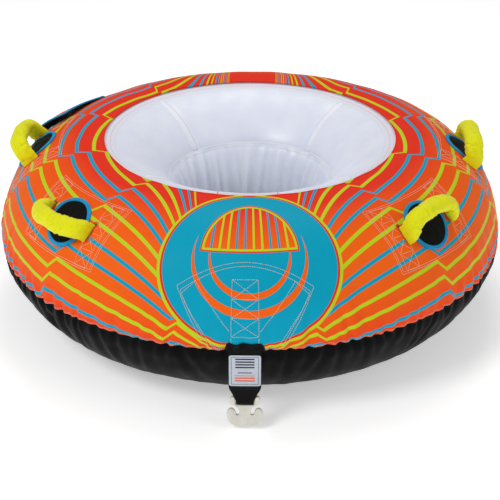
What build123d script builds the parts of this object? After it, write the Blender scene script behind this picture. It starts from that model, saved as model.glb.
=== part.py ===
from build123d import *

import os
from math import acos, asin, cos, degrees, radians, sin

os.makedirs("parts", exist_ok=True)

# A round towable tube for one rider, in millimetres. The origin is on the tube's axis at floor level,
# +Z is up and the tow strap is at the front, towards -Y. An azimuth is an angle about +Z from the
# front, and a section angle is 0 at the outer equator, 90 at the crown and 180 at the inner equator.

# Tube outline: four quarter ellipses round a centre circle
tube_radius = 640
tube_height = 450
crown_radius = 403
equator_height = 218
inner_half_width = 228
outer_half_width = tube_radius - crown_radius
upper_half_height = tube_height - equator_height

# Depths of the sheets under that outline
cover_thickness = 1.5
backing_depth = 1.6
backing_thickness = 0.5
webbing_depth = 2.2
webbing_thickness = 1.4
bladder_depth = 3.7
bladder_thickness = 1.0
weld_depth = 3.0
weld_thickness = 0.6

# Circles where the sheets end
cover_opening_radius = 372
rim_band_inner_radius = 345
rim_band_tuck = 2
inner_weld_radius = 205
inner_weld_width = 16
radial_weld_width = 18
radial_weld_count = 4
seam_height = 194

# Bottom of the seat well
drain_circle_radius = 110
drain_count = 4
drain_hole_radius = 7
grommet_flange_radius = 12
grommet_bore_radius = 5
grommet_flange_thickness = 1.8

# Label inside the well
well_label_width = 150
well_label_radii = (340, 292)

# Handles: azimuth, section angle and lean of the grip towards the crown, in degrees
handles = {
    "front_left": (-47.5, 46, -30),
    "front_right": (47.5, 46, 38),
    "rear_left": (-92, 50, 0),
    "rear_right": (92, 50, 38),
}
pad_radius = 54
pad_thickness = 4
binding_radius = 63
binding_thickness = 4.6
slit_offset = 80
slit_length = 52
slit_width = 5
backing_size = (270, 172)
anchor_size = (40, 166)
anchor_offset = 98
grip_hinge_height = 17
grip_half_span = 76
grip_shoulder = 58
grip_rise = 37
grip_bend_radius = 26
sleeve_radius = 18
sleeve_wall = 3
grip_webbing_size = (25, 2.4)
clearance = 0.3
# A block is this much larger than the outline that it is cut to
cut_margin = 1.2

# Tow strap and hook
strap_width = 74
strap_thickness = 4
strap_pivot = (0, -646, 200)
strap_lean = 4
strap_length = 130
strap_full_width_length = 104
strap_neck_width = 40
strap_neck_length = 117
strap_tip_width = 37
strap_loop_wall = 2
shoulder_width = 92
shoulder_angles = (-9, -1)
shoulder_thickness = 1.8
label_size = (72, 86)
label_thickness = 0.8
label_gap = 2
tow_anchor_angles = (-5, 32)
tow_fan_angles = (-5, 40)
tow_fan_widths = (160, 300)
tow_fan_margin = 20
hook_lean = 8
hook_thickness = 12
hook_bar_radius = 5
hook_head_radius = 36.5
hook_head_top = 12
hook_window_width = 42
hook_window_gap = 8
hook_foot_width = 83
hook_foot_top = 25
hook_foot_bottom = 61
hook_foot_corner = 14
hook_neck_width = 22
hook_neck_length = 24
throat_width = 8.5
throat_depth = 44
horn_tip_radius = 2

# Valve under its flap
valve_azimuth = -113
valve_angle = 54
valve_flange_radius = 34
valve_flange_depth = 1.8
valve_flange_thickness = 1.8
valve_neck_lap = 0.4
valve_neck_radius = 20
valve_bore_radius = 13
valve_neck_height = 5
cover_valve_hole_radius = 26
cap_radius = 24.5
cap_top = 9
cap_skirt_bottom = 1.5
cap_notch_radius = 1.5
cap_notch_count = 16
flap_azimuth = -115
flap_size = (220, 104)
flap_corner = 28
flap_height = 2
flap_thickness = 2.5
flap_binding_width = 8
flap_lift = 5


def section_angle(radius, upper=True):
    """Section angle of the inner half of the outline at a distance from the axis."""
    angle = degrees(acos((radius - crown_radius) / inner_half_width))
    return angle if upper else 360 - angle


seam_angle = degrees(asin((seam_height - equator_height) / equator_height))
opening_angle = section_angle(cover_opening_radius)
rim_band_angle = section_angle(rim_band_inner_radius)
upper_weld_angle = section_angle(inner_weld_radius)
lower_weld_angle = section_angle(inner_weld_radius, upper=False)
weld_half_angle = degrees(inner_weld_width / 2 / upper_half_height)


def outward(azimuth):
    """Unit vector from the tube's axis towards an azimuth."""
    return Vector(sin(radians(azimuth)), -cos(radians(azimuth)), 0)


def along(azimuth):
    """Unit vector along the circumference, the way the azimuth grows."""
    return Vector(cos(radians(azimuth)), sin(radians(azimuth)), 0)


def section(azimuth=0):
    """Half plane of one section, with X away from the axis and Y up."""
    return Plane((0, 0, 0), x_dir=outward(azimuth), z_dir=-along(azimuth))


def surface_radius(angle):
    """Distance from the tube's axis at a section angle on the outer half."""
    return crown_radius + outer_half_width * cos(radians(angle))


def surface_plane(azimuth, angle):
    """Plane tangent to the outer half: X along the circumference, Y up the section, Z outward."""
    height = equator_height + upper_half_height * sin(radians(angle))
    origin = outward(azimuth) * surface_radius(angle) + Vector(0, 0, height)
    normal = (
        outward(azimuth) * (cos(radians(angle)) / outer_half_width)
        + Vector(0, 0, 1) * (sin(radians(angle)) / upper_half_height)
    )
    return Plane(origin, x_dir=along(azimuth), z_dir=normal)


def outline(start, end, depth):
    """Stretch of the outline between two section angles, moved in by a depth."""
    quarters = (
        (-90, outer_half_width, equator_height),
        (0, outer_half_width, upper_half_height),
        (90, inner_half_width, upper_half_height),
        (180, inner_half_width, equator_height),
        (270, outer_half_width, equator_height),
    )
    for first, width, height in quarters:
        low, high = max(start, first), min(end, first + 90)
        if low < high:
            EllipticalCenterArc(
                (crown_radius, equator_height),
                width - depth,
                height - depth,
                low,
                arc_size=high - low,
            )


def sheet(start, end, depth, thickness):
    """Section of a sheet that follows the outline at a depth, negative outside it."""
    with BuildLine() as outside:
        outline(start, end, depth)
    with BuildLine() as inside:
        outline(start, end, depth + thickness)
    with BuildLine() as ring:
        add(outside.line)
        add(inside.line)
        Line(outside.line @ 0, inside.line @ 0)
        Line(outside.line @ 1, inside.line @ 1)
    make_face(ring.edges())


def patch(azimuth, width, start, end, depth, thickness):
    """Sheet sector of a width in millimetres, centred on an azimuth."""
    middle = (start + end) / 2
    half = degrees(width / 2 / surface_radius(middle))
    with BuildSketch(section(azimuth - half)) as profile:
        sheet(start, end, depth, thickness)
    revolve(profile.sketch, axis=Axis.Z, revolution_arc=2 * half)


def arc_angle(length):
    """Section angle that a length spans on the outer half, near enough for placing patches."""
    return degrees(length / ((outer_half_width + upper_half_height) / 2))


def keep(piece, name):
    """Label a finished piece and write it under its own name."""
    piece.part.label = name
    export_step(piece.part, f"parts/{name}.step")


# ---- Bladder ----------------------------------------------------------------------------------

valve_plane = surface_plane(valve_azimuth, valve_angle)

with BuildPart() as bladder_top_panel:
    with BuildSketch(section()):
        sheet(seam_angle, upper_weld_angle, bladder_depth, bladder_thickness)
    revolve(axis=Axis.Z)
    with BuildSketch(valve_plane):
        Circle(valve_bore_radius)
    extrude(amount=2 * bladder_depth, both=True, mode=Mode.SUBTRACT)
keep(bladder_top_panel, "bladder_top_panel")

with BuildPart() as bladder_inner_wall:
    with BuildSketch(section()):
        sheet(upper_weld_angle, lower_weld_angle, bladder_depth, bladder_thickness)
    revolve(axis=Axis.Z)
keep(bladder_inner_wall, "bladder_inner_wall")

with BuildPart() as bladder_bottom_panel:
    with BuildSketch(section()):
        sheet(lower_weld_angle, 360 + seam_angle, bladder_depth, bladder_thickness)
    revolve(axis=Axis.Z)
keep(bladder_bottom_panel, "bladder_bottom_panel")

with BuildPart() as inner_seam_weld:
    with BuildSketch(section()):
        sheet(
            upper_weld_angle - weld_half_angle,
            upper_weld_angle + weld_half_angle,
            weld_depth,
            weld_thickness,
        )
    revolve(axis=Axis.Z)
keep(inner_seam_weld, "inner_seam_weld")

with BuildPart() as rim_band:
    with BuildSketch(section()):
        sheet(opening_angle - rim_band_tuck, rim_band_angle, weld_depth, weld_thickness)
    revolve(axis=Axis.Z)
keep(rim_band, "rim_band")

with BuildPart() as bladder_radial_welds:
    with BuildSketch(section()):
        sheet(rim_band_angle, upper_weld_angle - weld_half_angle, weld_depth, weld_thickness)
    revolve(axis=Axis.Z)
    with BuildSketch(Plane.XY):
        with PolarLocations(crown_radius / 2, radial_weld_count, start_angle=45):
            Rectangle(crown_radius, radial_weld_width)
    extrude(amount=tube_height, mode=Mode.INTERSECT)
keep(bladder_radial_welds, "bladder_radial_welds")

with BuildPart() as well_label:
    label_half_angle = degrees(well_label_width / 2 / (sum(well_label_radii) / 2))
    with BuildSketch(section(-label_half_angle)):
        sheet(*(section_angle(r) for r in well_label_radii), weld_depth, weld_thickness)
    revolve(axis=Axis.Z, revolution_arc=2 * label_half_angle)
keep(well_label, "well_label")

# ---- Cover ------------------------------------------------------------------------------------

with BuildPart() as cover_top:
    with BuildSketch(section()):
        sheet(seam_angle, opening_angle, 0, cover_thickness)
    revolve(axis=Axis.Z)
    for azimuth, angle, _ in handles.values():
        with BuildSketch(surface_plane(azimuth, angle)):
            with Locations((-slit_offset, 0), (slit_offset, 0)):
                Rectangle(slit_width, slit_length)
        extrude(amount=6 * cover_thickness, both=True, mode=Mode.SUBTRACT)
    with BuildSketch(valve_plane):
        Circle(cover_valve_hole_radius)
    extrude(amount=6 * cover_thickness, both=True, mode=Mode.SUBTRACT)
keep(cover_top, "cover_top")

with BuildPart() as cover_skirt:
    with BuildSketch(section()):
        sheet(-90, seam_angle, 0, cover_thickness)
    revolve(axis=Axis.Z)
keep(cover_skirt, "cover_skirt")

with BuildPart() as floor_panel:
    with BuildSketch(Plane.XY):
        Circle(crown_radius)
        with PolarLocations(drain_circle_radius, drain_count):
            Circle(drain_hole_radius, mode=Mode.SUBTRACT)
    extrude(amount=cover_thickness)
keep(floor_panel, "floor_panel")

with BuildPart() as drain_grommets:
    with BuildSketch(Plane.XY):
        with PolarLocations(drain_circle_radius, drain_count):
            Circle(drain_hole_radius)
    extrude(amount=cover_thickness)
    with BuildSketch(Plane.XY.offset(cover_thickness)):
        with PolarLocations(drain_circle_radius, drain_count):
            Circle(grommet_flange_radius)
    extrude(amount=grommet_flange_thickness)
    with PolarLocations(drain_circle_radius, drain_count):
        Hole(grommet_bore_radius)
keep(drain_grommets, "drain_grommets")

# ---- Handles ----------------------------------------------------------------------------------


def round_layer(azimuth, angle, radius, depth, thickness):
    """Block of a sheet around a handle, to be cut round by an intersection."""
    width = 2 * radius * cut_margin
    span = arc_angle(width)
    patch(azimuth, width, angle - span / 2, angle + span / 2, depth, thickness)


for name, (azimuth, angle, lean) in handles.items():
    place = surface_plane(azimuth, angle)

    with BuildPart() as pad:
        round_layer(azimuth, angle, pad_radius, -clearance - pad_thickness, pad_thickness)
        with BuildSketch(place):
            Circle(pad_radius)
        extrude(amount=pad_radius, both=True, mode=Mode.INTERSECT)
    keep(pad, f"{name}_pad")

    with BuildPart() as binding:
        round_layer(azimuth, angle, binding_radius, -clearance - binding_thickness, binding_thickness)
        with BuildSketch(place):
            Circle(binding_radius)
            Circle(pad_radius, mode=Mode.SUBTRACT)
        extrude(amount=binding_radius, both=True, mode=Mode.INTERSECT)
    keep(binding, f"{name}_binding")

    with BuildPart() as backing:
        span = arc_angle(backing_size[1])
        patch(azimuth, backing_size[0], angle - span / 2, angle + span / 2, backing_depth, backing_thickness)
    keep(backing, f"{name}_backing")

    with BuildPart() as anchor:
        turn = degrees(anchor_offset / surface_radius(angle))
        span = arc_angle(anchor_size[1])
        for side in (-1, 1):
            patch(
                azimuth + side * turn,
                anchor_size[0],
                angle - span / 2,
                angle + span / 2,
                webbing_depth,
                webbing_thickness,
            )
    keep(anchor, f"{name}_anchor")

    hinge = place.offset(grip_hinge_height)
    tilt = radians(lean)
    rise_direction = place.z_dir * cos(tilt) + place.y_dir * sin(tilt)
    arch_plane = Plane(hinge.origin, x_dir=place.x_dir, z_dir=place.x_dir.cross(rise_direction))
    with BuildLine(arch_plane) as arch:
        FilletPolyline(
            (-grip_half_span, 0),
            (-grip_shoulder, grip_rise),
            (grip_shoulder, grip_rise),
            (grip_half_span, 0),
            radius=grip_bend_radius,
        )
    grip_end = Plane(arch.line @ 0, x_dir=arch_plane.z_dir, z_dir=arch.line % 0)

    with BuildPart() as sleeve:
        with BuildSketch(grip_end):
            Circle(sleeve_radius)
        sweep(path=arch.line)
        with Locations(arch.line @ 0, arch.line @ 1):
            Sphere(sleeve_radius)
        with BuildSketch(grip_end):
            Circle(sleeve_radius - sleeve_wall)
        sweep(path=arch.line, mode=Mode.SUBTRACT)
    keep(sleeve, f"{name}_sleeve")

    with BuildPart() as foam:
        with BuildSketch(grip_end):
            Circle(sleeve_radius - sleeve_wall)
            Rectangle(*grip_webbing_size, mode=Mode.SUBTRACT)
        sweep(path=arch.line)
    keep(foam, f"{name}_foam")

    with BuildPart() as grip_webbing:
        with BuildSketch(grip_end):
            Rectangle(*grip_webbing_size)
        sweep(path=arch.line)
    keep(grip_webbing, f"{name}_webbing")

# ---- Tow strap and hook -----------------------------------------------------------------------

with BuildPart() as tow_reinforcement:
    patch(0, tow_fan_widths[1], *tow_fan_angles, backing_depth, backing_thickness)
    fan_heights = [equator_height + upper_half_height * sin(radians(a)) for a in tow_fan_angles]
    with BuildSketch(Plane.XZ):
        with BuildLine():
            Polyline(
                (-tow_fan_widths[0] / 2, fan_heights[0] - tow_fan_margin),
                (tow_fan_widths[0] / 2, fan_heights[0] - tow_fan_margin),
                (tow_fan_widths[1] / 2, fan_heights[1]),
                (-tow_fan_widths[1] / 2, fan_heights[1]),
                close=True,
            )
        make_face()
    extrude(amount=tube_radius, mode=Mode.INTERSECT)
keep(tow_reinforcement, "tow_reinforcement")

with BuildPart() as tow_anchor:
    patch(0, strap_width, *tow_anchor_angles, webbing_depth, webbing_thickness)
keep(tow_anchor, "tow_anchor")

with BuildPart() as tow_shoulder:
    patch(0, shoulder_width, *shoulder_angles, -clearance - shoulder_thickness, shoulder_thickness)
keep(tow_shoulder, "tow_shoulder")

# The strap's own plane: X across, Y up the strap, Z to the front
strap_up = Vector(0, sin(radians(strap_lean)), cos(radians(strap_lean)))
strap_plane = Plane(strap_pivot, x_dir=(1, 0, 0), z_dir=Vector(1, 0, 0).cross(strap_up))
strap_side = Plane(strap_pivot, x_dir=strap_up, z_dir=(1, 0, 0))
loop_inner_radius = hook_bar_radius + clearance
loop_outer_radius = loop_inner_radius + strap_loop_wall
# The strap's two layers part here, above the bar
loop_split = strap_length - 6 * loop_inner_radius

with BuildPart() as tow_strap:
    with BuildSketch(strap_side):
        with Locations((-loop_split / 2, 0)):
            Rectangle(loop_split, strap_thickness)
        Circle(strap_thickness / 2)
    with BuildSketch(strap_side):
        with Locations((-loop_split + strap_thickness, 0)):
            Circle(strap_thickness / 2)
        with Locations((-strap_length, 0)):
            Circle(loop_outer_radius)
        make_hull()
    extrude(amount=strap_width / 2, both=True)
    with BuildSketch(strap_side):
        with Locations((-loop_split - 2 * strap_thickness, 0)):
            Circle(clearance)
        with Locations((-strap_length, 0)):
            Circle(loop_inner_radius)
        make_hull()
    extrude(amount=strap_width, both=True, mode=Mode.SUBTRACT)
    with BuildSketch(strap_plane):
        with BuildLine():
            Polyline(
                (-strap_width / 2, strap_thickness),
                (strap_width / 2, strap_thickness),
                (strap_width / 2, -strap_full_width_length),
                (strap_neck_width / 2, -strap_neck_length),
                (strap_tip_width / 2, -strap_length - 2 * loop_outer_radius),
                (-strap_tip_width / 2, -strap_length - 2 * loop_outer_radius),
                (-strap_neck_width / 2, -strap_neck_length),
                (-strap_width / 2, -strap_full_width_length),
                close=True,
            )
        make_face()
    extrude(amount=2 * loop_outer_radius, both=True, mode=Mode.INTERSECT)
keep(tow_strap, "tow_strap")

with BuildPart() as strap_label:
    with BuildSketch(strap_plane.offset(strap_thickness / 2)):
        with Locations((0, -label_size[1] / 2 - label_gap)):
            RectangleRounded(*label_size, 4)
    extrude(amount=label_thickness)
keep(strap_label, "strap_label")

hook_pivot = strap_plane.from_local_coords(Vector(0, -strap_length, 0))
hook_up = Vector(0, sin(radians(hook_lean)), cos(radians(hook_lean)))
hook_plane = Plane(hook_pivot, x_dir=(1, 0, 0), z_dir=Vector(1, 0, 0).cross(hook_up))

with BuildPart() as tow_hook:
    with BuildSketch(hook_plane) as hook_outline:
        # Foot with its two horns, hollowed along the head and beside the neck
        with Locations((0, -(hook_foot_top + hook_foot_bottom) / 2)):
            RectangleRounded(hook_foot_width, hook_foot_bottom - hook_foot_top, hook_foot_corner)
        Circle(hook_head_radius + throat_width, mode=Mode.SUBTRACT)
        with Locations((0, -throat_depth / 2)):
            Rectangle(hook_neck_width + 2 * throat_width, throat_depth, mode=Mode.SUBTRACT)
        fillet(hook_outline.vertices().group_by(Axis.Y)[-1], radius=horn_tip_radius)
        with Locations((0, -throat_depth)):
            Rectangle(hook_neck_width, hook_neck_length)
        # Head with the window for the strap, open above the bar
        Circle(hook_head_radius)
        with Locations((0, hook_head_top + hook_head_radius)):
            Rectangle(3 * hook_head_radius, 2 * hook_head_radius, mode=Mode.SUBTRACT)
        with Locations((0, hook_head_radius - hook_bar_radius - hook_window_gap)):
            Rectangle(hook_window_width, 2 * hook_head_radius, mode=Mode.SUBTRACT)
    extrude(amount=hook_thickness / 2, both=True)
    with BuildSketch(Plane(hook_pivot, x_dir=(0, 1, 0), z_dir=(1, 0, 0))):
        Circle(hook_bar_radius)
    extrude(amount=hook_window_width / 2 + 1, both=True)
keep(tow_hook, "tow_hook")

# ---- Valve ------------------------------------------------------------------------------------

with BuildPart() as valve_base:
    round_layer(
        valve_azimuth, valve_angle, valve_flange_radius, valve_flange_depth, valve_flange_thickness
    )
    with BuildSketch(valve_plane):
        Circle(valve_flange_radius)
    extrude(amount=valve_flange_radius, both=True, mode=Mode.INTERSECT)
    with BuildSketch(valve_plane.offset(-bladder_depth + valve_neck_lap)):
        Circle(valve_neck_radius)
    extrude(amount=valve_neck_height + bladder_depth - valve_neck_lap)
    with BuildSketch(valve_plane):
        Circle(valve_bore_radius)
    extrude(amount=4 * valve_neck_height, both=True, mode=Mode.SUBTRACT)
keep(valve_base, "valve_base")

with BuildPart() as valve_cap:
    with BuildSketch(valve_plane.offset(cap_skirt_bottom)):
        Circle(cap_radius)
    extrude(amount=cap_top - cap_skirt_bottom)
    with BuildSketch(valve_plane.offset(cap_skirt_bottom)):
        Circle(valve_neck_radius + clearance)
        Circle(valve_bore_radius - clearance, mode=Mode.SUBTRACT)
    extrude(amount=valve_neck_height + clearance - cap_skirt_bottom, mode=Mode.SUBTRACT)
    with BuildSketch(valve_plane.offset(cap_skirt_bottom)):
        with PolarLocations(cap_radius, cap_notch_count):
            Circle(cap_notch_radius)
    extrude(amount=cap_top, mode=Mode.SUBTRACT)
keep(valve_cap, "valve_cap")

# The flap lies over the valve, lifted a little about its rear edge
flap_plane = surface_plane(flap_azimuth, valve_angle)
flap_span = arc_angle(flap_size[1] * cut_margin)
flap_hinge_point = (
    outward(flap_azimuth - degrees(flap_size[0] / 2 / surface_radius(valve_angle)))
    * (surface_radius(valve_angle) + flap_height)
    + Vector(0, 0, flap_plane.origin.Z + flap_height)
)
flap_hinge = Axis(flap_hinge_point, -flap_plane.y_dir)


def flap_layer(height, thickness):
    """Sheet under the flap's outline, at a height over the cover."""
    patch(
        flap_azimuth,
        flap_size[0] * cut_margin,
        valve_angle - flap_span / 2,
        valve_angle + flap_span / 2,
        -height - thickness,
        thickness,
    )


with BuildPart() as flap_flat:
    flap_layer(flap_height, flap_thickness)
    with BuildSketch(flap_plane):
        RectangleRounded(
            flap_size[0] - 2 * flap_binding_width,
            flap_size[1] - 2 * flap_binding_width,
            flap_corner - flap_binding_width,
        )
    extrude(amount=flap_size[1], both=True, mode=Mode.INTERSECT)

with BuildPart() as flap_binding_flat:
    flap_layer(flap_height - clearance, flap_thickness + 2 * clearance)
    with BuildSketch(flap_plane):
        RectangleRounded(*flap_size, flap_corner)
        RectangleRounded(
            flap_size[0] - 2 * flap_binding_width,
            flap_size[1] - 2 * flap_binding_width,
            flap_corner - flap_binding_width,
            mode=Mode.SUBTRACT,
        )
    extrude(amount=flap_size[1], both=True, mode=Mode.INTERSECT)

with BuildPart() as valve_flap:
    add(flap_flat.part.rotate(flap_hinge, flap_lift))
keep(valve_flap, "valve_flap")

with BuildPart() as valve_flap_binding:
    add(flap_binding_flat.part.rotate(flap_hinge, flap_lift))
keep(valve_flap_binding, "valve_flap_binding")
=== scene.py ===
import math

import bpy
import numpy as np
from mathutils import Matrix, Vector


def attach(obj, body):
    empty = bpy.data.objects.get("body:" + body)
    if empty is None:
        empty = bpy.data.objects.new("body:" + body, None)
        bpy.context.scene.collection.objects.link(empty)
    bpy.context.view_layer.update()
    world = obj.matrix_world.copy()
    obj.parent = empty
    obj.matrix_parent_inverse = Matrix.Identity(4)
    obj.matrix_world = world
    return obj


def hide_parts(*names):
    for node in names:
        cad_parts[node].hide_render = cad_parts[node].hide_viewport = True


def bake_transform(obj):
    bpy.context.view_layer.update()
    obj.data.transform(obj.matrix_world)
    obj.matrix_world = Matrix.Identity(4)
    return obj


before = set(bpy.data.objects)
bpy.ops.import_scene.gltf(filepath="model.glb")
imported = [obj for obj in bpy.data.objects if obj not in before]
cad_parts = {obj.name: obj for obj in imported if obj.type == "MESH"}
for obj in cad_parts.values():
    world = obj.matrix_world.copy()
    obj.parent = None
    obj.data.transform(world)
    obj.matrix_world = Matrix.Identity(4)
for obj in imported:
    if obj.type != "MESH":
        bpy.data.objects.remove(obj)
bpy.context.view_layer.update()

# A round towable tube for one rider. The tube's axis is Z and the tow strap is at the front, towards
# -Y. A place on the cover is (azimuth, climb): the angle about Z from the front, towards +X, and the
# distance up the section from the seam between the orange and the black cloth, in metres.

# ---- The tube's outline ------------------------------------------------------------------------

CROWN_RADIUS = 0.403
EQUATOR = 0.218
OUTER, INNER = 0.237, 0.228
UPPER, LOWER = 0.232, 0.218
BLADDER_DEPTH = 0.0037
WELD_RADIUS = 0.205
RIM_RADIUS = 0.372
BAND_RADIUS = 0.345
SEAM_ANGLE = math.asin((0.194 - EQUATOR) / LOWER)
FINE = 1.0


def half_axes(phi):
    """Half axes of the outline's quarter ellipse at a section angle."""
    return (
        np.where(np.cos(phi) >= 0, OUTER, INNER),
        np.where(np.sin(phi) >= 0, UPPER, LOWER),
    )


def on_outline(azimuth, phi, lift):
    """Points at a height over the outline, with azimuth, phi and lift as arrays."""
    wide, high = half_axes(phi)
    across, up = np.cos(phi) / wide, np.sin(phi) / high
    size = np.hypot(across, up)
    radius = CROWN_RADIUS + wide * np.cos(phi) + lift * across / size
    height = EQUATOR + high * np.sin(phi) + lift * up / size
    return np.stack(
        [radius * np.sin(azimuth), -radius * np.cos(azimuth), height + 0 * azimuth],
        axis=-1,
    )


# Section angle against the climb from the seam, from the floor's edge round to the floor's edge
_phi = np.radians(np.linspace(-90, 354, 8881))
_wide, _high = half_axes(_phi)
_climb = np.concatenate(
    [[0], np.cumsum(np.hypot(np.diff(_wide * np.cos(_phi)), np.diff(_high * np.sin(_phi))))]
)
_climb -= np.interp(SEAM_ANGLE, _phi, _climb)


def angle_at(climb):
    return np.interp(climb, _climb, _phi)


def climb_at(phi):
    return np.interp(phi, _phi, _climb)


def angle_at_radius(radius, upper=True):
    """Section angle of the inner half at a distance from the axis."""
    phi = math.acos((radius - CROWN_RADIUS) / INNER)
    return phi if upper else 2 * math.pi - phi


def radius_at(climb):
    phi = angle_at(climb)
    return CROWN_RADIUS + half_axes(phi)[0] * np.cos(phi)


RIM_CLIMB = float(climb_at(angle_at_radius(RIM_RADIUS)))
FLOOR_CLIMB = float(climb_at(-math.pi / 2))

# ---- Wrinkles of the cover, the same for every piece that lies on it ----------------------------

GIRTH = 0.64
chance = np.random.default_rng(11)
puckers = []
place = 0.0
while place < 2 * math.pi * GIRTH:
    puckers.append(
        {
            "place": place,
            "depth": chance.uniform(0.0022, 0.0046),
            "width": chance.uniform(0.0050, 0.0095),
            "up": chance.uniform(0.035, 0.095),
            "down": chance.uniform(0.05, 0.13),
            "lean": chance.uniform(-0.35, 0.35),
        }
    )
    place += chance.uniform(0.026, 0.06)
swells = [
    (int(n), chance.uniform(0, 6.28), chance.uniform(18, 45), chance.uniform(0, 6.28))
    for n in (5, 9, 13, 17, 23, 31)
]
HANDLES = {
    "front_left": (-47.5, 46, -30),
    "front_right": (47.5, 46, 38),
    "rear_left": (-92, 50, 0),
    "rear_right": (92, 50, 38),
}
SLIT_OFFSET = 0.080
pulls = []
for _azimuth, _angle, _ in HANDLES.values():
    for _side in (-1, 1):
        _v = float(climb_at(math.radians(_angle)))
        pulls.append((math.radians(_azimuth) + _side * SLIT_OFFSET / float(radius_at(_v)), _v, _side))


def turn(a):
    """An angle difference from -pi to pi."""
    return (a + math.pi) % (2 * math.pi) - math.pi


def wrinkle(azimuth, climb):
    """How far the cover stands out of its outline."""
    out = np.zeros(np.broadcast(azimuth, climb).shape)
    for waves, phase, steep, shift in swells:
        out += 0.00028 * (1 + np.sin(waves * azimuth + phase + 1.5 * np.sin(steep * climb / 3 + shift)))
    for p in puckers:
        x = turn(azimuth - p["place"] / GIRTH) * GIRTH - p["lean"] * climb
        reach = np.where(climb > 0, p["up"], p["down"])
        fade = np.exp(-((np.abs(climb) / reach) ** 1.6))
        spread = p["width"] * (1 + 0.7 * np.abs(climb) / reach)
        near = np.abs(x) < 4.5 * spread
        crease = np.where(near, np.exp(-((x / spread) ** 2)), 0)
        ridge = np.where(near, np.exp(-(((np.abs(x) - 1.9 * spread) / spread) ** 2)), 0)
        out += fade * (0.75 * p["depth"] * ridge - p["depth"] * crease)
    # The seam draws the cloth in, and it swells again on each side
    out += 0.0024 * np.exp(-(((np.abs(climb) - 0.026) / 0.02) ** 2)) - 0.0012 * np.exp(-((climb / 0.006) ** 2))
    # Short folds run out of each handle's slits
    for a, v, side in pulls:
        x = turn(azimuth - a) * float(radius_at(v)) * side
        y = climb - v
        far = np.hypot(x, y)
        folds = np.cos(5 * np.arctan2(y, x) + 9 * v + side) ** 3
        out += 0.0018 * folds * np.exp(-(((far - 0.034) / 0.022) ** 2)) * (far > 0.004)
    return np.clip(out, -0.0031, 0.0075)


def above_floor(points):
    """The underside flattens where it rests on the floor."""
    points[..., 2] = np.maximum(points[..., 2], 0.0)
    return points


def skin(azimuth, climb, lift=0.0, wrinkled=1.0):
    """Points on the wrinkled cover, or at a height over it."""
    azimuth, climb = np.broadcast_arrays(np.asarray(azimuth, float), np.asarray(climb, float))
    return above_floor(on_outline(azimuth, angle_at(climb), lift + wrinkled * wrinkle(azimuth, climb)))


def around(azimuth, angle, u, v):
    """(azimuth, climb) of a place u along the circumference and v up the section from a centre."""
    climb = climb_at(math.radians(angle)) + v
    return math.radians(azimuth) + u / radius_at(climb), climb


# ---- Meshes ------------------------------------------------------------------------------------


def mesh_object(name, points, faces, body="tube", replaces=(), slot=None, attributes=None):
    """A piece from points and faces, on its body. Attributes are vectors, one for each point."""
    mesh = bpy.data.meshes.new(name)
    mesh.from_pydata([tuple(p) for p in np.asarray(points, float)], [], [tuple(f) for f in faces])
    mesh.validate()
    mesh.shade_smooth()
    for key, values in (attributes or {}).items():
        layer = mesh.attributes.new(key, "FLOAT_VECTOR", "POINT")
        layer.data.foreach_set("vector", np.asarray(values, np.float32).ravel())
    obj = bpy.data.objects.new(name, mesh)
    bpy.context.scene.collection.objects.link(obj)
    if body:
        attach(obj, body)
    if replaces:
        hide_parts(*replaces)
    return obj


def grid_faces(rows, columns, wrap_rows=False, wrap_columns=False, start=0):
    """Quads of a grid whose points run column by column within each row."""
    last_row = rows if wrap_rows else rows - 1
    last_column = columns if wrap_columns else columns - 1
    i, j = np.meshgrid(np.arange(last_row), np.arange(last_column), indexing="ij")
    i, j = i.ravel(), j.ravel()
    i2, j2 = (i + 1) % rows, (j + 1) % columns
    return np.stack([i * columns + j, i * columns + j2, i2 * columns + j2, i2 * columns + j], axis=1) + start


def ground(azimuth, climb):
    """The attribute that printed cloth is coloured by: sine and cosine of the azimuth, and the climb."""
    azimuth, climb = np.broadcast_arrays(azimuth, climb)
    return np.stack([np.sin(azimuth), np.cos(azimuth), climb], axis=-1).reshape(-1, 3)


def ring_piece(name, low, high, rows, columns, lift, wrinkled, **kw):
    """A band right round the tube between two climbs. Lift is a number or a function."""
    climb = np.linspace(low, high, rows)[:, None]
    azimuth = np.linspace(-math.pi, math.pi, columns, endpoint=False)[None, :]
    azimuth, climb = np.broadcast_arrays(azimuth, climb)
    height = lift(azimuth, climb) if callable(lift) else lift
    points = above_floor(on_outline(azimuth, angle_at(climb), height + wrinkled * wrinkle(azimuth, climb)))
    return mesh_object(
        name,
        points.reshape(-1, 3),
        grid_faces(rows, columns, wrap_columns=True),
        attributes={"ground": ground(azimuth, climb)},
        **kw,
    )


def shell(u, v, top, bottom, to_points):
    """Points and faces of a closed thin block: grids u and v, its upper and lower heights, its map."""
    rows, columns = u.shape
    points = np.concatenate([to_points(u, v, top).reshape(-1, 3), to_points(u, v, bottom).reshape(-1, 3)])
    n = rows * columns
    upper = grid_faces(rows, columns)
    lower = upper[:, ::-1] + n
    index = np.arange(n).reshape(rows, columns)
    rim = np.concatenate([index[0, :], index[1:, -1], index[-1, -2::-1], index[-2:0:-1, 0]])
    after = np.roll(rim, -1)
    sides = np.stack([rim, rim + n, after + n, after], axis=1)
    return points, np.concatenate([upper, lower, sides])


def joined(parts):
    """Points and faces of several parts as one."""
    starts = np.cumsum([0] + [len(points) for points, _ in parts])
    faces = [own + start for (_, own), start in zip(parts, starts)]
    return np.concatenate([points for points, _ in parts]), np.concatenate(faces)


def block_piece(name, u, v, top, bottom, to_points, extra=None, **kw):
    points, faces = shell(u, v, top, bottom, to_points)
    flat = np.stack([u, v, 0 * u], axis=-1).reshape(-1, 3)
    attributes = {"flat": np.concatenate([flat, flat])}
    if extra is not None:
        attributes["ground"] = np.concatenate([extra, extra])
    return mesh_object(name, points, faces, attributes=attributes, **kw)


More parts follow.
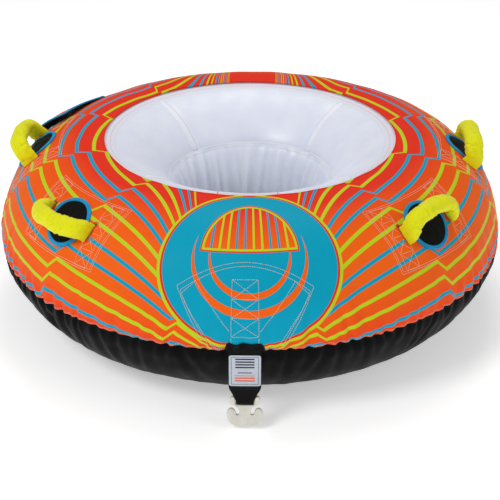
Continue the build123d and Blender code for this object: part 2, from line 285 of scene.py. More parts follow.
def rounded_grid(width, height, corner, columns, rows):
    """u and v grids that fill a rectangle with round corners."""
    v = np.linspace(-height / 2, height / 2, rows)
    v = blunt(v / (height / 2), 0.75) * height / 2
    over = np.maximum(0, np.abs(v) - (height / 2 - corner))
    half = width / 2 - corner + np.sqrt(np.maximum(0, corner**2 - over**2))
    across = np.linspace(-1, 1, columns)
    return half[:, None] * across[None, :], np.repeat(v[:, None], columns, axis=1)


def rounded_loop(width, height, corner, count):
    """Points and outward directions evenly round a rectangle with round corners."""
    pieces = []
    for k, (cx, cy) in enumerate(((1, 1), (-1, 1), (-1, -1), (1, -1))):
        t = np.radians(np.linspace(0, 90, 33) + 90 * k)
        centre = np.array([cx * (width / 2 - corner), cy * (height / 2 - corner)])
        pieces.append(centre + corner * np.stack([np.cos(t), np.sin(t)], axis=1))
    line = np.concatenate(pieces + [pieces[0][:1]])
    length = np.concatenate([[0], np.cumsum(np.hypot(*np.diff(line, axis=0).T))])
    even = np.linspace(0, length[-1], count, endpoint=False)
    points = np.stack([np.interp(even, length, line[:, k]) for k in (0, 1)], axis=1)
    ahead = np.roll(points, -1, axis=0) - np.roll(points, 1, axis=0)
    ahead /= np.linalg.norm(ahead, axis=1)[:, None]
    return points, np.stack([ahead[:, 1], -ahead[:, 0]], axis=1)


def piping(name, loop, out, profile, to_points, **kw):
    """A closed band along a loop: profile gives (distance outward, height) round its section."""
    count, sides = len(loop), len(profile)
    profile = np.asarray(profile, float)
    u = loop[:, None, 0] + out[:, None, 0] * profile[None, :, 0]
    v = loop[:, None, 1] + out[:, None, 1] * profile[None, :, 0]
    lift = np.repeat(profile[None, :, 1], count, axis=0)
    step = np.linalg.norm(np.roll(loop, -1, axis=0) - loop, axis=1)
    run = np.concatenate([[0], np.cumsum(step)[:-1]])
    flat = np.stack(
        [np.repeat(run[:, None], sides, axis=1), np.repeat(profile[None, :, 0], count, axis=0), lift], axis=-1
    )
    return mesh_object(
        name,
        to_points(u, v, lift).reshape(-1, 3),
        grid_faces(count, sides, wrap_rows=True, wrap_columns=True),
        attributes={"flat": flat.reshape(-1, 3)},
        **kw,
    )


def blunt(wave, power):
    """A sine or cosine with its rounds flattened towards a square."""
    return np.sign(wave) * np.abs(wave) ** power


def dome_profile(inner, outer, height, base=0.0):
    """Section of a bound edge: a flat-topped bead from one distance to another."""
    middle, half = (inner + outer) / 2, (outer - inner) / 2
    t = np.radians(np.arange(0, 360, 22.5))
    across, up = blunt(np.cos(t), 0.6), blunt(np.sin(t), 0.6)
    return np.stack([middle + half * across, base + height / 2 * (1 + up)], axis=1)


STITCH_LENGTH = 0.0036
STITCH_PITCH = 0.0046
STITCH_HALF_WIDTH = 0.00055


def stitches(name, lines, to_points, lift=0.0003, **kw):
    """Sewn lines: each line is an array of (u, v), and becomes a row of separate stitches."""
    starts, ends = [], []
    for line in lines:
        line = np.asarray(line, float)
        length = np.concatenate([[0], np.cumsum(np.hypot(*np.diff(line, axis=0).T))])
        at = np.arange(0.3 * STITCH_PITCH, length[-1] - STITCH_LENGTH, STITCH_PITCH)
        starts.append(np.stack([np.interp(at, length, line[:, k]) for k in (0, 1)], axis=1))
        ends.append(np.stack([np.interp(at + STITCH_LENGTH, length, line[:, k]) for k in (0, 1)], axis=1))
    a, b = np.concatenate(starts), np.concatenate(ends)
    ahead = (b - a) / np.maximum(np.linalg.norm(b - a, axis=1), 1e-9)[:, None]
    side = np.stack([-ahead[:, 1], ahead[:, 0]], axis=1)
    rings = []
    for share, scale in ((0.0, 0.35), (0.22, 1.0), (0.78, 1.0), (1.0, 0.35)):
        middle = a + (b - a) * share
        half = STITCH_HALF_WIDTH * scale
        for across, up in ((-half, 0.0), (0.0, half), (half, 0.0), (0.0, -half)):
            p = middle + side * across
            rings.append(to_points(p[:, 0], p[:, 1], lift + up + np.zeros(len(p))))
    points = np.stack(rings, axis=1).reshape(-1, 3)
    one = [list(f) for f in grid_faces(4, 4, wrap_columns=True)] + [[3, 2, 1, 0], [12, 13, 14, 15]]
    faces = [[k * 16 + i for i in f] for k in range(len(a)) for f in one]
    return mesh_object(name, points, faces, **kw)


# ---- Materials -----------------------------------------------------------------------------------


def operation(name):
    """A method that adds one arithmetic node."""
    return lambda nodes, *values, clamp=False: nodes.math(name, *values, clamp=clamp)


class Nodes:
    """Short names for the nodes of one material."""

    def __init__(self, name):
        self.material = bpy.data.materials.new(name)
        self.material.use_nodes = True
        self.tree = self.material.node_tree
        self.tree.nodes.clear()
        self.out = self.tree.nodes.new("ShaderNodeOutputMaterial")
        self.shader = self.tree.nodes.new("ShaderNodeBsdfPrincipled")
        self.tree.links.new(self.shader.outputs[0], self.out.inputs[0])

    def put(self, socket, value):
        if isinstance(value, bpy.types.NodeSocket):
            self.tree.links.new(value, socket)
        elif value is not None:
            if socket.type == "VECTOR" and hasattr(value, "__len__"):
                value = value[:3]
            socket.default_value = value

    def set(self, **values):
        for key, value in values.items():
            self.put(self.shader.inputs[key.replace("_", " ")], value)

    def math(self, operation, a, b=None, c=None, clamp=False):
        node = self.tree.nodes.new("ShaderNodeMath")
        node.operation = operation
        node.use_clamp = clamp
        for socket, value in zip(node.inputs, (a, b, c)):
            self.put(socket, value)
        return node.outputs[0]

    add, sub = operation("ADD"), operation("SUBTRACT")
    mul, div = operation("MULTIPLY"), operation("DIVIDE")
    mul_add, power = operation("MULTIPLY_ADD"), operation("POWER")
    least, most = operation("MINIMUM"), operation("MAXIMUM")
    below, above = operation("LESS_THAN"), operation("GREATER_THAN")
    root, size = operation("SQRT"), operation("ABSOLUTE")

    def mix(self, share, a, b):
        node = self.tree.nodes.new("ShaderNodeMix")
        node.data_type = "RGBA"
        self.put(node.inputs[0], share)
        self.put(node.inputs[6], a)
        self.put(node.inputs[7], b)
        return node.outputs[2]

    def scaled(self, tint, share):
        node = self.tree.nodes.new("ShaderNodeVectorMath")
        node.operation = "SCALE"
        self.put(node.inputs[0], tint)
        self.put(node.inputs["Scale"], share)
        return node.outputs[0]

    def attribute(self, name):
        node = self.tree.nodes.new("ShaderNodeAttribute")
        node.attribute_name = name
        split = self.tree.nodes.new("ShaderNodeSeparateXYZ")
        self.tree.links.new(node.outputs["Vector"], split.inputs[0])
        return split.outputs

    def place(self, scale=(1, 1, 1)):
        coordinates = self.tree.nodes.new("ShaderNodeTexCoord")
        node = self.tree.nodes.new("ShaderNodeMapping")
        self.tree.links.new(coordinates.outputs["Object"], node.inputs[0])
        node.inputs["Scale"].default_value = scale
        return node.outputs[0]

    def noise(self, size, detail=3, vector=None, rough=0.5):
        node = self.tree.nodes.new("ShaderNodeTexNoise")
        node.inputs["Scale"].default_value = 1 / size
        node.inputs["Detail"].default_value = detail
        node.inputs["Roughness"].default_value = rough
        self.put(node.inputs["Vector"], vector if vector is not None else self.place())
        return node.outputs[0]

    def range(self, value, low, high, to_low, to_high):
        node = self.tree.nodes.new("ShaderNodeMapRange")
        for socket, v in zip(node.inputs, (value, low, high, to_low, to_high)):
            self.put(socket, v)
        return node.outputs[0]

    def bump(self, height, distance, strength=1.0, normal=None):
        node = self.tree.nodes.new("ShaderNodeBump")
        node.inputs["Strength"].default_value = strength
        node.inputs["Distance"].default_value = distance
        self.put(node.inputs["Height"], height)
        self.put(node.inputs["Normal"], normal)
        return node.outputs[0]

    def sine(self, value, period, phase=0.0):
        """A wave from 0 to 1."""
        wave = self.math("SINE", self.mul_add(value, 2 * math.pi / period, phase))
        return self.mul_add(wave, 0.5, 0.5)

    def weave(self, u, v, period):
        """Plain weave: over and under threads in turn."""
        return self.mul(self.sine(u, period), self.sine(v, period))

    def split(self, vector):
        node = self.tree.nodes.new("ShaderNodeSeparateXYZ")
        self.tree.links.new(vector, node.inputs[0])
        return node.outputs


def colour(red, green, blue):
    """Linear colour of an 8-bit screen colour."""
    return tuple(
        (c / 255 / 12.92 if c <= 10 else ((c / 255 + 0.055) / 1.055) ** 2.4) for c in (red, green, blue)
    ) + (1.0,)


ORANGE = colour(252, 104, 18)
RED = colour(238, 48, 22)
TEAL = colour(0, 164, 196)
LIME = colour(192, 216, 34)
CYAN = colour(6, 158, 222)
BLACK = colour(9, 9, 10)
YELLOW = colour(236, 236, 14)

PITCH = 0.042  # between two lines, up the section
JOG = 0.028  # how far a step lifts the lines
JOG_PERIOD = math.radians(33.5)  # from one step to the next
JOG_START = math.radians(15.5)  # azimuth of the first step, at the seam
JOG_SLANT = 0.5  # how far a step leans, in radians for each metre of climb
STEPS_END = math.radians(146)  # no steps further round than this
JOG_RAMP = 0.045  # share of the period that the slanted connector takes
LINE_HALF = 0.0046  # half a line's width
FAN_WIDTH = 0.2  # how far from the middle the lines run together
FAN_BELOW = 0.05  # how far below the seam they meet
LAST_LINE = 14.5  # lines in front
REAR_LINES = 9  # further lines behind
CROWDED = 0.17  # widest half line, as a share of the gap between crowded lines
EMBLEM_ASIDE = 0.010
EMBLEM_CENTRE = 0.215
EMBLEM_HALF = (0.216, 0.209)
EDGE = 0.0006  # softness of a printed edge
PRINT_RADIUS = 0.6  # turns azimuth into distance round the tube


def fill(n, distance):
    """1 where a distance is below zero, with a soft edge."""
    return n.mul_add(distance, -1 / EDGE, 0.5, clamp=True)


def stroke(n, distance, half):
    """1 where a distance is nearer to zero than half a line's width."""
    return fill(n, n.sub(n.size(distance), half))


def ellipse(n, x, y, cx, cy, rx, ry):
    """Distance outside an ellipse, near enough for its edge."""
    dx, dy = n.sub(x, cx), n.sub(y, cy)

    def length(across, up):
        return n.root(n.add(n.power(n.div(dx, across), 2), n.power(n.div(dy, up), 2)))

    k = length(rx, ry)
    grow = length(rx * rx, ry * ry)
    return n.div(n.mul(k, n.sub(k, 1)), n.most(grow, 0.01))


def print_colour(n):
    """The cover's print: an orange ground, stepped contour lines in pairs, and a round medallion."""
    sine, cosine, climb = n.attribute("ground")
    azimuth = n.math("ARCTAN2", sine, cosine)
    x = n.mul(azimuth, PRINT_RADIUS)
    aside = n.size(azimuth)

    warm = n.power(n.div(n.sub(climb, 0.165), 0.2), 2)
    patchy = n.mul_add(n.noise(0.22, 2), 0.5, -0.25)
    ground_colour = n.mix(n.add(n.sub(1, warm), patchy, clamp=True), RED, ORANGE)

    # Saw-tooth steps at even azimuths
    stepped = n.least(aside, STEPS_END)
    slanted = n.mul_add(climb, JOG_SLANT, n.add(stepped, JOG_PERIOD - JOG_START))
    phase = n.math("FRACT", n.div(slanted, JOG_PERIOD))
    back = n.div(n.sub(1, phase), 1 - JOG_RAMP)
    front = n.div(phase, JOG_RAMP)
    saw = n.least(back, front)
    on_ramp = n.below(phase, JOG_RAMP)
    saw_slope = n.mul(on_ramp, JOG / (JOG_RAMP * JOG_PERIOD * PRINT_RADIUS))

    # All lines run together below the medallion
    height = n.add(n.mul_add(saw, JOG, climb), FAN_BELOW)
    from_middle = n.least(aside, n.sub(math.pi, aside))
    run = n.mul_add(from_middle, PRINT_RADIUS, 0.0005)
    share = n.math("TANH", n.div(run, FAN_WIDTH))
    level = n.div(height, share)
    bend = n.div(n.sub(1, n.power(share, 2)), FAN_WIDTH)
    slope_u = n.mul(n.div(height, n.power(share, 2)), bend)
    rear = n.above(aside, math.pi / 2)
    slope_u = n.mul(slope_u, n.mul_add(rear, -2, 1))
    slope_u = n.sub(slope_u, n.div(saw_slope, share))
    local_radius = n.mul_add(n.power(climb, 2), -1.75, 0.64)
    slope_u = n.mul(slope_u, n.div(PRINT_RADIUS, local_radius))
    slope_v = n.div(1, share)
    slope = n.root(n.add(n.power(slope_u, 2), n.power(slope_v, 2)))
    steps = n.div(n.sub(level, FAN_BELOW), PITCH)
    number = n.math("ROUND", steps)
    off = n.div(n.mul(n.sub(steps, number), PITCH), slope)
    half = n.least(LINE_HALF, n.div(PITCH * CROWDED, slope))
    last = n.mul_add(rear, REAR_LINES, LAST_LINE)
    line = n.mul(stroke(n, off, half), n.below(number, last))
    blue = n.below(n.math("FLOORED_MODULO", n.add(number, 0.5), 4), 2)
    result = n.mix(line, ground_colour, n.mix(blue, LIME, TEAL))

    # Medallion: a teal ring of ripples under a window with upright bars
    across = n.sub(x, EMBLEM_ASIDE)
    outer = ellipse(n, across, climb, 0.0, EMBLEM_CENTRE, *EMBLEM_HALF)
    result = n.mix(fill(n, n.sub(outer, 0.0035)), result, LIME)
    result = n.mix(fill(n, n.add(outer, 0.0035)), result, RED)
    body = fill(n, n.add(outer, 0.009))
    inside = TEAL
    for radius, thick in ((0.138, 0.015), (0.098, 0.012)):
        wide = ellipse(n, across, climb, 0.0, 0.222, radius, radius * 1.04)
        narrow = ellipse(n, across, climb, 0.0, 0.222 + thick, radius - thick * 0.25, radius * 1.04 - thick * 0.25)
        crescent = n.mul(fill(n, wide), n.sub(1, fill(n, narrow)))
        inside = n.mix(crescent, inside, ORANGE)
    sill = n.sub(0.236, climb)
    dome = n.most(ellipse(n, across, climb, 0.0, 0.236, 0.112, 0.122), sill)
    inside = n.mix(fill(n, n.sub(dome, 0.009)), inside, RED)
    inside = n.mix(fill(n, n.sub(dome, 0.0055)), inside, LIME)
    bars = n.div(n.add(across, 0.2), 0.021)
    bar_number = n.math("ROUND", bars)
    bar = stroke(n, n.mul(n.sub(bars, bar_number), 0.021), 0.0028)
    bar_blue = n.below(n.math("FLOORED_MODULO", n.add(bar_number, 0.5), 4), 2)
    window = n.mix(bar, n.mix(n.range(climb, 0.24, 0.35, 0, 1), ORANGE, RED), n.mix(bar_blue, LIME, TEAL))
    inside = n.mix(fill(n, dome), inside, window)
    return n.mix(body, result, inside), x, climb


def cloth_finish(n, base, u, v, period, wear=0.08, rough=(0.5, 0.66), sheen=0.15, depth=0.00012):
    """Colour that varies a little, a woven surface and a soft sheen."""
    cloudy = n.noise(0.05, 4)
    fine = n.noise(0.0035, 2)
    shade = n.mul_add(cloudy, wear, 1 - wear * 0.62)
    shade = n.mul(shade, n.mul_add(fine, 0.10, 0.95))
    weave = n.weave(u, v, period)
    # The weave darkens the colour between threads, where its bump is low: painted shade
    shade = n.mul(shade, n.mul_add(weave, 0.08, 0.96))
    soft = n.bump(n.noise(0.018, 3), 0.0006, 0.35)
    n.set(
        Base_Color=n.scaled(base, shade),
        Roughness=n.range(cloudy, 0.3, 0.7, *rough),
        Specular_IOR_Level=0.16,
        Sheen_Weight=sheen,
        Sheen_Roughness=0.4,
        Normal=n.bump(weave, depth, 0.5, soft),
    )


def printed_cloth():
    n = Nodes("printed_cloth")
    base, x, climb = print_colour(n)
    cloth_finish(n, base, x, climb, 0.0016, rough=(0.48, 0.62), sheen=0.0)
    n.set(Specular_IOR_Level=0.1)
    return n.material


def coated_black():
    n = Nodes("coated_black")
    x, y, z = n.split(n.place())
    azimuth = n.mul(n.math("ARCTAN2", x, y), PRINT_RADIUS)
    scuff = n.range(n.noise(0.012, 6, n.place((1, 1, 3)), 0.7), 0.62, 0.75, 0, 0.5)
    base = n.mix(scuff, BLACK, colour(24, 24, 26))
    cloth_finish(n, base, azimuth, z, 0.0016, wear=0.25, rough=(0.40, 0.56), sheen=0.0)
    n.set(Specular_IOR_Level=0.045)
    return n.material


def flat_cloth(name, base, period, worn=None, **kw):
    """Cloth whose weave follows the piece's own flat coordinates."""
    n = Nodes(name)
    u, v, _ = n.attribute("flat")
    if worn is not None:
        base = n.mix(n.range(n.noise(0.009, 5), 0.5, 0.72, 0, 0.55), base, worn)
    cloth_finish(n, base, u, v, period, **kw)
    return n.material


def webbing_cloth(name, base, rib=0.0022):
    """Heavy flat webbing: ribs across, with a finer twill along."""
    n = Nodes(name)
    u, v, _ = n.attribute("flat")
    twill = n.sine(n.add(u, v), rib * 1.6)
    ribs = n.sine(v, rib)
    height = n.mul_add(twill, 0.5, ribs)
    # Colour is darker in the troughs between the ribs: painted shade; the noise below adds random tone
    shade = n.mul_add(ribs, 0.35, 0.75)
    shade = n.mul(shade, n.mul_add(n.noise(0.02, 4), 0.5, 0.75))
    n.set(
        Base_Color=n.scaled(base, shade),
        Roughness=n.range(n.noise(0.01, 3), 0.3, 0.7, 0.55, 0.75),
        Specular_IOR_Level=0.12,
        Sheen_Weight=0.02,
        Sheen_Roughness=0.5,
        Normal=n.bump(height, 0.0003, 0.7),
    )
    return n.material


def neoprene():
    n = Nodes("neoprene")
    pores = n.noise(0.0014, 2)
    creases = n.noise(0.02, 4, n.place((1, 1, 1)), 0.6)
    # Colour follows the crease bump, darker in its hollows: painted shade in the creases
    base = n.mix(n.range(creases, 0.45, 0.75, 0, 0.6), colour(8, 8, 9), colour(22, 22, 24))
    bump = n.bump(creases, 0.0016, 0.5, n.bump(pores, 0.0002, 0.6))
    n.set(
        Base_Color=base,
        Roughness=n.range(pores, 0.3, 0.7, 0.55, 0.75),
        Specular_IOR_Level=0.1,
        Sheen_Weight=0.02,
        Sheen_Roughness=0.35,
        Normal=bump,
    )
    return n.material


def vinyl(name, base, ribs=False, printed_line=None):
    """Milky bladder film: slightly see-through in look, with a soft gloss and a faint painted glow from emission."""
    n = Nodes(name)
    if printed_line is not None:
        _, v, _ = n.attribute("flat")
        faint = n.mul(stroke(n, n.sub(v, printed_line), 0.0008), 0.7)
        base_line = n.mix(faint, base, colour(240, 120, 120))
    mottled = n.noise(0.06, 5)
    grain = n.noise(0.0011, 2)
    duller = tuple(c * 0.93 for c in base[:2]) + (base[2] * 0.965, 1)
    tint = n.mix(n.range(mottled, 0.35, 0.7, 0, 1), base, duller)
    if printed_line is not None:
        tint = n.mix(0.8, tint, base_line)
    height = n.mul_add(grain, 0.15, mottled)
    normal = n.bump(height, 0.0009, 0.35)
    if ribs:
        x, y, z = n.split(n.place())
        around_z = n.mul(n.math("ARCTAN2", x, y), 0.3)
        rising, falling = n.add(around_z, z), n.sub(around_z, z)
        across = n.mul(n.sine(rising, 0.004), n.sine(falling, 0.004))
        normal = n.bump(across, 0.0005, 0.6, normal)
    n.set(
        Base_Color=tint,
        Roughness=n.range(mottled, 0.3, 0.7, 0.3, 0.46),
        Specular_IOR_Level=0.4,
        # Emission of the film's own tint: a painted glow that lightens the film
        Emission_Color=tint,
        Emission_Strength=0.07,
        Subsurface_Weight=0.25,
        Subsurface_Radius=(0.02, 0.02, 0.025),
        Subsurface_Scale=0.4,
        Normal=normal,
    )
    return n.material


def moulded(name, base, rough=(0.34, 0.5), glow=0.0):
    """Moulded plastic: fine texture, faint flow marks and softened edges."""
    n = Nodes(name)
    speck = n.noise(0.0016, 3)
    flow = n.noise(0.014, 4, n.place((1, 1, 0.35)))
    dark = tuple(c * 0.82 for c in base[:3]) + (1,)
    tint = n.mix(n.range(flow, 0.35, 0.75, 0, 0.55), base, dark)
    tint = n.mix(n.range(speck, 0.62, 0.8, 0, 0.4), tint, dark)
    bevel = n.tree.nodes.new("ShaderNodeBevel")
    bevel.samples = 6
    bevel.inputs["Radius"].default_value = 0.0012
    n.set(
        Base_Color=tint,
        Roughness=n.range(flow, 0.3, 0.7, *rough),
        Normal=n.bump(speck, 0.0001, 0.5, bevel.outputs[0]),
    )
    if glow:
        n.set(Subsurface_Weight=glow, Subsurface_Radius=(0.01, 0.009, 0.007), Subsurface_Scale=0.3)
    return n.material


def brushed_metal():
    n = Nodes("brushed_metal")
    scratch = n.noise(0.004, 5, n.place((1, 1, 12)))
    spots = n.noise(0.01, 4)
    n.set(
        Base_Color=n.mix(n.range(spots, 0.4, 0.7, 0, 1), colour(196, 198, 202), colour(150, 153, 158)),
        Metallic=1.0,
        Roughness=n.range(scratch, 0.3, 0.7, 0.25, 0.45),
        Normal=n.bump(scratch, 0.0001, 0.4),
    )
    return n.material


def thread(name, light, dark):
    n = Nodes(name)
    ply = n.noise(0.0009, 2)
    n.set(
        Base_Color=n.mix(ply, light, dark),
        Roughness=n.range(ply, 0.3, 0.7, 0.6, 0.8),
        Normal=n.bump(ply, 0.0002, 0.6),
    )
    return n.material


def label_cloth():
    """Pale label: a zig-zag sewn border and plain bars where printing would be."""
    n = Nodes("label_cloth")
    u, v, _ = n.attribute("flat")
    au, av = n.size(u), n.size(v)
    inset = n.most(n.sub(au, 0.0305), n.sub(av, 0.0340))
    wave = n.mul(n.sub(n.math("PINGPONG", n.add(u, v), 0.0016), 0.0008), 1.2)
    sewn = stroke(n, n.add(inset, wave), 0.0006)
    paper = n.mix(n.noise(0.02, 3), colour(206, 212, 222), colour(188, 196, 210))
    for half, low, high, tint in (
        (0.0215, 0.004, 0.031, colour(38, 40, 46)),
        (0.016, -0.007, 0.0, colour(120, 126, 138)),
        (0.0225, -0.027, -0.0115, colour(226, 92, 46)),
    ):
        row = n.math("PINGPONG", n.add(v, 0.1), 0.0034)
        block = n.mul(n.above(v, low), n.below(v, high))
        bar = n.mul(n.below(row, 0.0017), n.below(au, half))
        paper = n.mix(n.mul(bar, block), paper, tint)
    paper = n.mix(sewn, paper, colour(60, 64, 72))
    cloth_finish(n, paper, u, v, 0.0008, rough=(0.42, 0.55), sheen=0.05, depth=0.00006)
    return n.material


def well_label_film():
    """White film with a plain red line round it."""
    n = Nodes("well_label_film")
    u, v, _ = n.attribute("flat")
    inset = n.most(n.sub(n.size(u), 0.071), n.sub(n.size(v), 0.021))
    line = stroke(n, inset, 0.0011)
    paper = n.mix(n.noise(0.03, 3), colour(240, 241, 244), colour(226, 229, 236))
    grain = n.noise(0.0012, 2)
    n.set(
        Base_Color=n.mix(line, paper, colour(226, 60, 44)),
        Roughness=n.range(grain, 0.3, 0.7, 0.3, 0.42),
        Normal=n.bump(grain, 0.00008, 0.5),
    )
    return n.material


def make_materials():
    return {
        "well_label": well_label_film(),
        "print": printed_cloth(),
        "black": coated_black(),
        "neoprene": neoprene(),
        "binding": webbing_cloth("binding_tape", CYAN, 0.0016),
        "webbing": webbing_cloth("webbing_black", colour(12, 12, 13)),
        "grip": flat_cloth("grip_fabric", YELLOW, 0.0013, worn=colour(214, 212, 20), wear=0.14, sheen=0.12),
        "backing": flat_cloth("backing_cloth", colour(205, 92, 50), 0.0018),
        "foam": flat_cloth("foam", colour(60, 60, 62), 0.002),
        # Dark lining under the flap: a real underside, darkened to paint in the shade beneath the lifted flap
        "under": flat_cloth("flap_lining_and_shade", colour(22, 22, 24), 0.0016, worn=colour(42, 42, 44)),
        "bladder": vinyl("bladder_film", colour(228, 232, 243)),
        "weld": vinyl("welded_film", colour(243, 245, 255), ribs=True),
        "band": vinyl("rim_film", colour(232, 235, 248), printed_line=0.002),
        "hook": moulded("hook_plastic", colour(226, 223, 212), rough=(0.3, 0.45), glow=0.2),
        "valve": moulded("valve_plastic", colour(34, 34, 36)),
        "cap": moulded("cap_plastic", colour(40, 40, 42), rough=(0.4, 0.55)),
        "metal": brushed_metal(),
        "thread": thread("thread", colour(252, 226, 205), colour(226, 190, 165)),
        "blue_thread": thread("blue_thread", colour(90, 185, 225), colour(30, 120, 175)),
        "dark_thread": thread("dark_thread", colour(60, 60, 62), colour(30, 30, 32)),
        "lips": flat_cloth("slit_lips", colour(236, 84, 34), 0.0016),
        "label": label_cloth(),
        # Dark red cloth of the slits: painted shadow inside them
        "shadow": flat_cloth("slit_painted_shadow", colour(112, 24, 18), 0.002),
    }


look = make_materials()


def dress(obj, name):
    obj.data.materials.clear()
    obj.data.materials.append(look[name])
    return obj


# ---- Cover ---------------------------------------------------------------------------------------

cover_rows, cover_columns = int(100 * FINE), int(960 * FINE)

cover = ring_piece(
    "cover_cloth", 0.0, RIM_CLIMB, cover_rows, cover_columns, 0.0, 1.0,
    replaces=["cover_top"], slot="cover_print",
)
dress(cover, "print")

skirt = ring_piece(
    "skirt_cloth", FLOOR_CLIMB, 0.0, int(90 * FINE), cover_columns,
    0.0, 1.0,
    replaces=["cover_skirt"], slot="cover_black",
)
dress(skirt, "black")


def hem(name, climb, half, height, body_look, sink=0.0, **kw):
    """A rolled edge right round the cover at one climb."""
    columns = int(720 * FINE)
    t = np.radians(np.arange(0, 360, 45))[None, :]
    azimuth = np.linspace(-math.pi, math.pi, columns, endpoint=False)[:, None]
    azimuth, t = np.broadcast_arrays(azimuth, t)
    along_section = climb + half * np.cos(t)
    points = skin(azimuth, along_section, height * (0.35 + np.sin(t)) + sink * np.minimum(np.sin(t), 0))
    flat = np.stack([azimuth * GIRTH, along_section, 0 * t], axis=-1).reshape(-1, 3)
    obj = mesh_object(
        name, points.reshape(-1, 3), grid_faces(columns, 8, True, True),
        attributes={"ground": ground(azimuth, along_section), "flat": flat}, **kw,
    )
    return dress(obj, body_look)


hem("seam_welt", -0.0012, 0.0021, 0.0011, "black")
hem("rim_hem", RIM_CLIMB - 0.002, 0.0024, 0.0011, "print", sink=BLADDER_DEPTH - 0.001)

stitch_rows = [
    [(a, c) for a in np.linspace(-math.pi, math.pi, 721) * GIRTH] for c in (0.0032, 0.0068)
]
dress(
    stitches(
        "seam_stitching", stitch_rows, lambda u, v, lift: skin(u / GIRTH, v, lift + 0.0002), slot="cover_print"
    ),
    "thread",
)

# ---- Bladder -------------------------------------------------------------------------------------

UPPER_WELD = float(climb_at(angle_at_radius(WELD_RADIUS)))
LOWER_WELD = float(climb_at(angle_at_radius(WELD_RADIUS, upper=False)))
BLADDER_END = float(climb_at(math.radians(353)))
WALL_FOLDS = 34
WALL_RADIUS, FUNNEL_RADIUS = 0.19, 0.28
WELD_HALF_WIDTH = 0.009
wall_folds = [
    (
        k * 2 * math.pi / WALL_FOLDS + chance.uniform(-0.05, 0.05),
        chance.uniform(0.002, 0.0048),
        chance.uniform(0.005, 0.009),
        chance.uniform(-0.25, 0.25),
        chance.uniform(0.5, 1.0),
    )
    for k in range(WALL_FOLDS)
]


def bladder_lift(azimuth, climb):
    """Where the bladder stands against the outline: upright folds on the wall, faint dents above."""
    down = climb - UPPER_WELD
    length = LOWER_WELD - UPPER_WELD
    share = np.clip(down / length, 0, 1)
    on_wall = np.sin(math.pi * share) ** 0.5 * (share > 0)
    out = np.zeros(np.broadcast(azimuth, climb).shape)
    for centre, depth, width, lean, reach in wall_folds:
        x = turn(azimuth - centre - lean * (share - 0.3)) * WALL_RADIUS
        fold = np.exp(-((x / width) ** 2)) - 0.55 * np.exp(-(((np.abs(x) - 2.1 * width) / width) ** 2))
        out += depth * fold * on_wall * np.exp(-(((share - 0.3) / reach) ** 4))
    # The welds draw the film in, and it swells between them
    for weld in (UPPER_WELD, LOWER_WELD):
        out -= 0.0022 * np.exp(-(((climb - weld) / 0.012) ** 2))
    quarter = np.abs(turn((azimuth - math.pi / 4) * 4) / 4)
    on_funnel = np.clip((climb - RIM_CLIMB) / 0.06, 0, 1) * (down < 0)
    out -= 0.0016 * on_funnel * np.exp(-((quarter * FUNNEL_RADIUS / 0.014) ** 2))
    out += 0.0006 * on_funnel * (1 + np.sin(9 * azimuth + 20 * climb))
    return np.clip(out, -0.004, 0.0065)


def bladder_ring(name, low, high, rows, columns, **kw):
    return dress(
        ring_piece(name, low, high, rows, columns, lambda a, c: bladder_lift(a, c) - BLADDER_DEPTH, 0.0, **kw),
        "bladder",
    )


funnel = bladder_ring(
    "bladder_funnel", 0.002, UPPER_WELD, int(110 * FINE), int(480 * FINE),
    replaces=["bladder_top_panel"], slot="bladder",
)
wall = bladder_ring(
    "bladder_wall", UPPER_WELD, LOWER_WELD, int(80 * FINE), int(640 * FINE),
    replaces=["bladder_inner_wall"], slot="bladder",
)
under = bladder_ring(
    "bladder_underside", LOWER_WELD, BLADDER_END, int(120 * FINE), int(480 * FINE),
    replaces=["bladder_bottom_panel"], slot="bladder",
)


def ring_weld(name, climb, half, height, look_name, **kw):
    columns = int(480 * FINE)
    profile = dome_profile(-half, half, height, -0.0004)
    azimuth = np.linspace(-math.pi, math.pi, columns, endpoint=False)[:, None]
    azimuth, across = np.broadcast_arrays(azimuth, profile[None, :, 0])
    lift = np.repeat(profile[None, :, 1], columns, axis=0)
    c = climb + across
    points = on_outline(azimuth, angle_at(c), bladder_lift(azimuth, c) - BLADDER_DEPTH + lift)
    flat = np.stack([azimuth * 0.2, across, lift], axis=-1).reshape(-1, 3)
    return dress(
        mesh_object(
            name, points.reshape(-1, 3), grid_faces(columns, len(profile), True, True),
            attributes={"flat": flat}, **kw,
        ),
        look_name,
    )


ring_weld("well_weld", UPPER_WELD, 0.0062, 0.0010, "weld", replaces=["inner_seam_weld"], slot="weld")
BAND_CLIMB = float(climb_at(angle_at_radius(BAND_RADIUS)))
ring_weld(
    "rim_weld_band", (RIM_CLIMB + BAND_CLIMB) / 2, (BAND_CLIMB - RIM_CLIMB) / 2 + 0.002, 0.0006, "band",
    replaces=["rim_band"], slot="weld",
)


def radial_welds():
    strips = []
    for middle in np.radians([45, 135, 225, 315]):
        across = np.linspace(-WELD_HALF_WIDTH, WELD_HALF_WIDTH, 7)
        climb = np.linspace(BAND_CLIMB, UPPER_WELD - 0.006, 60)
        u, v = np.meshgrid(across, climb)

        def to_points(a, c, height):
            azimuth = middle + a / radius_at(c)
            return on_outline(azimuth, angle_at(c), bladder_lift(azimuth, c) - BLADDER_DEPTH + height)

        top = 0.0011 * (1 - (np.abs(u) / 0.0095) ** 6)
        strips.append(shell(u, v, top, -0.0004 + 0 * u, to_points))
    return mesh_object("funnel_welds", *joined(strips), replaces=["bladder_radial_welds"], slot="weld")


dress(radial_welds(), "weld")

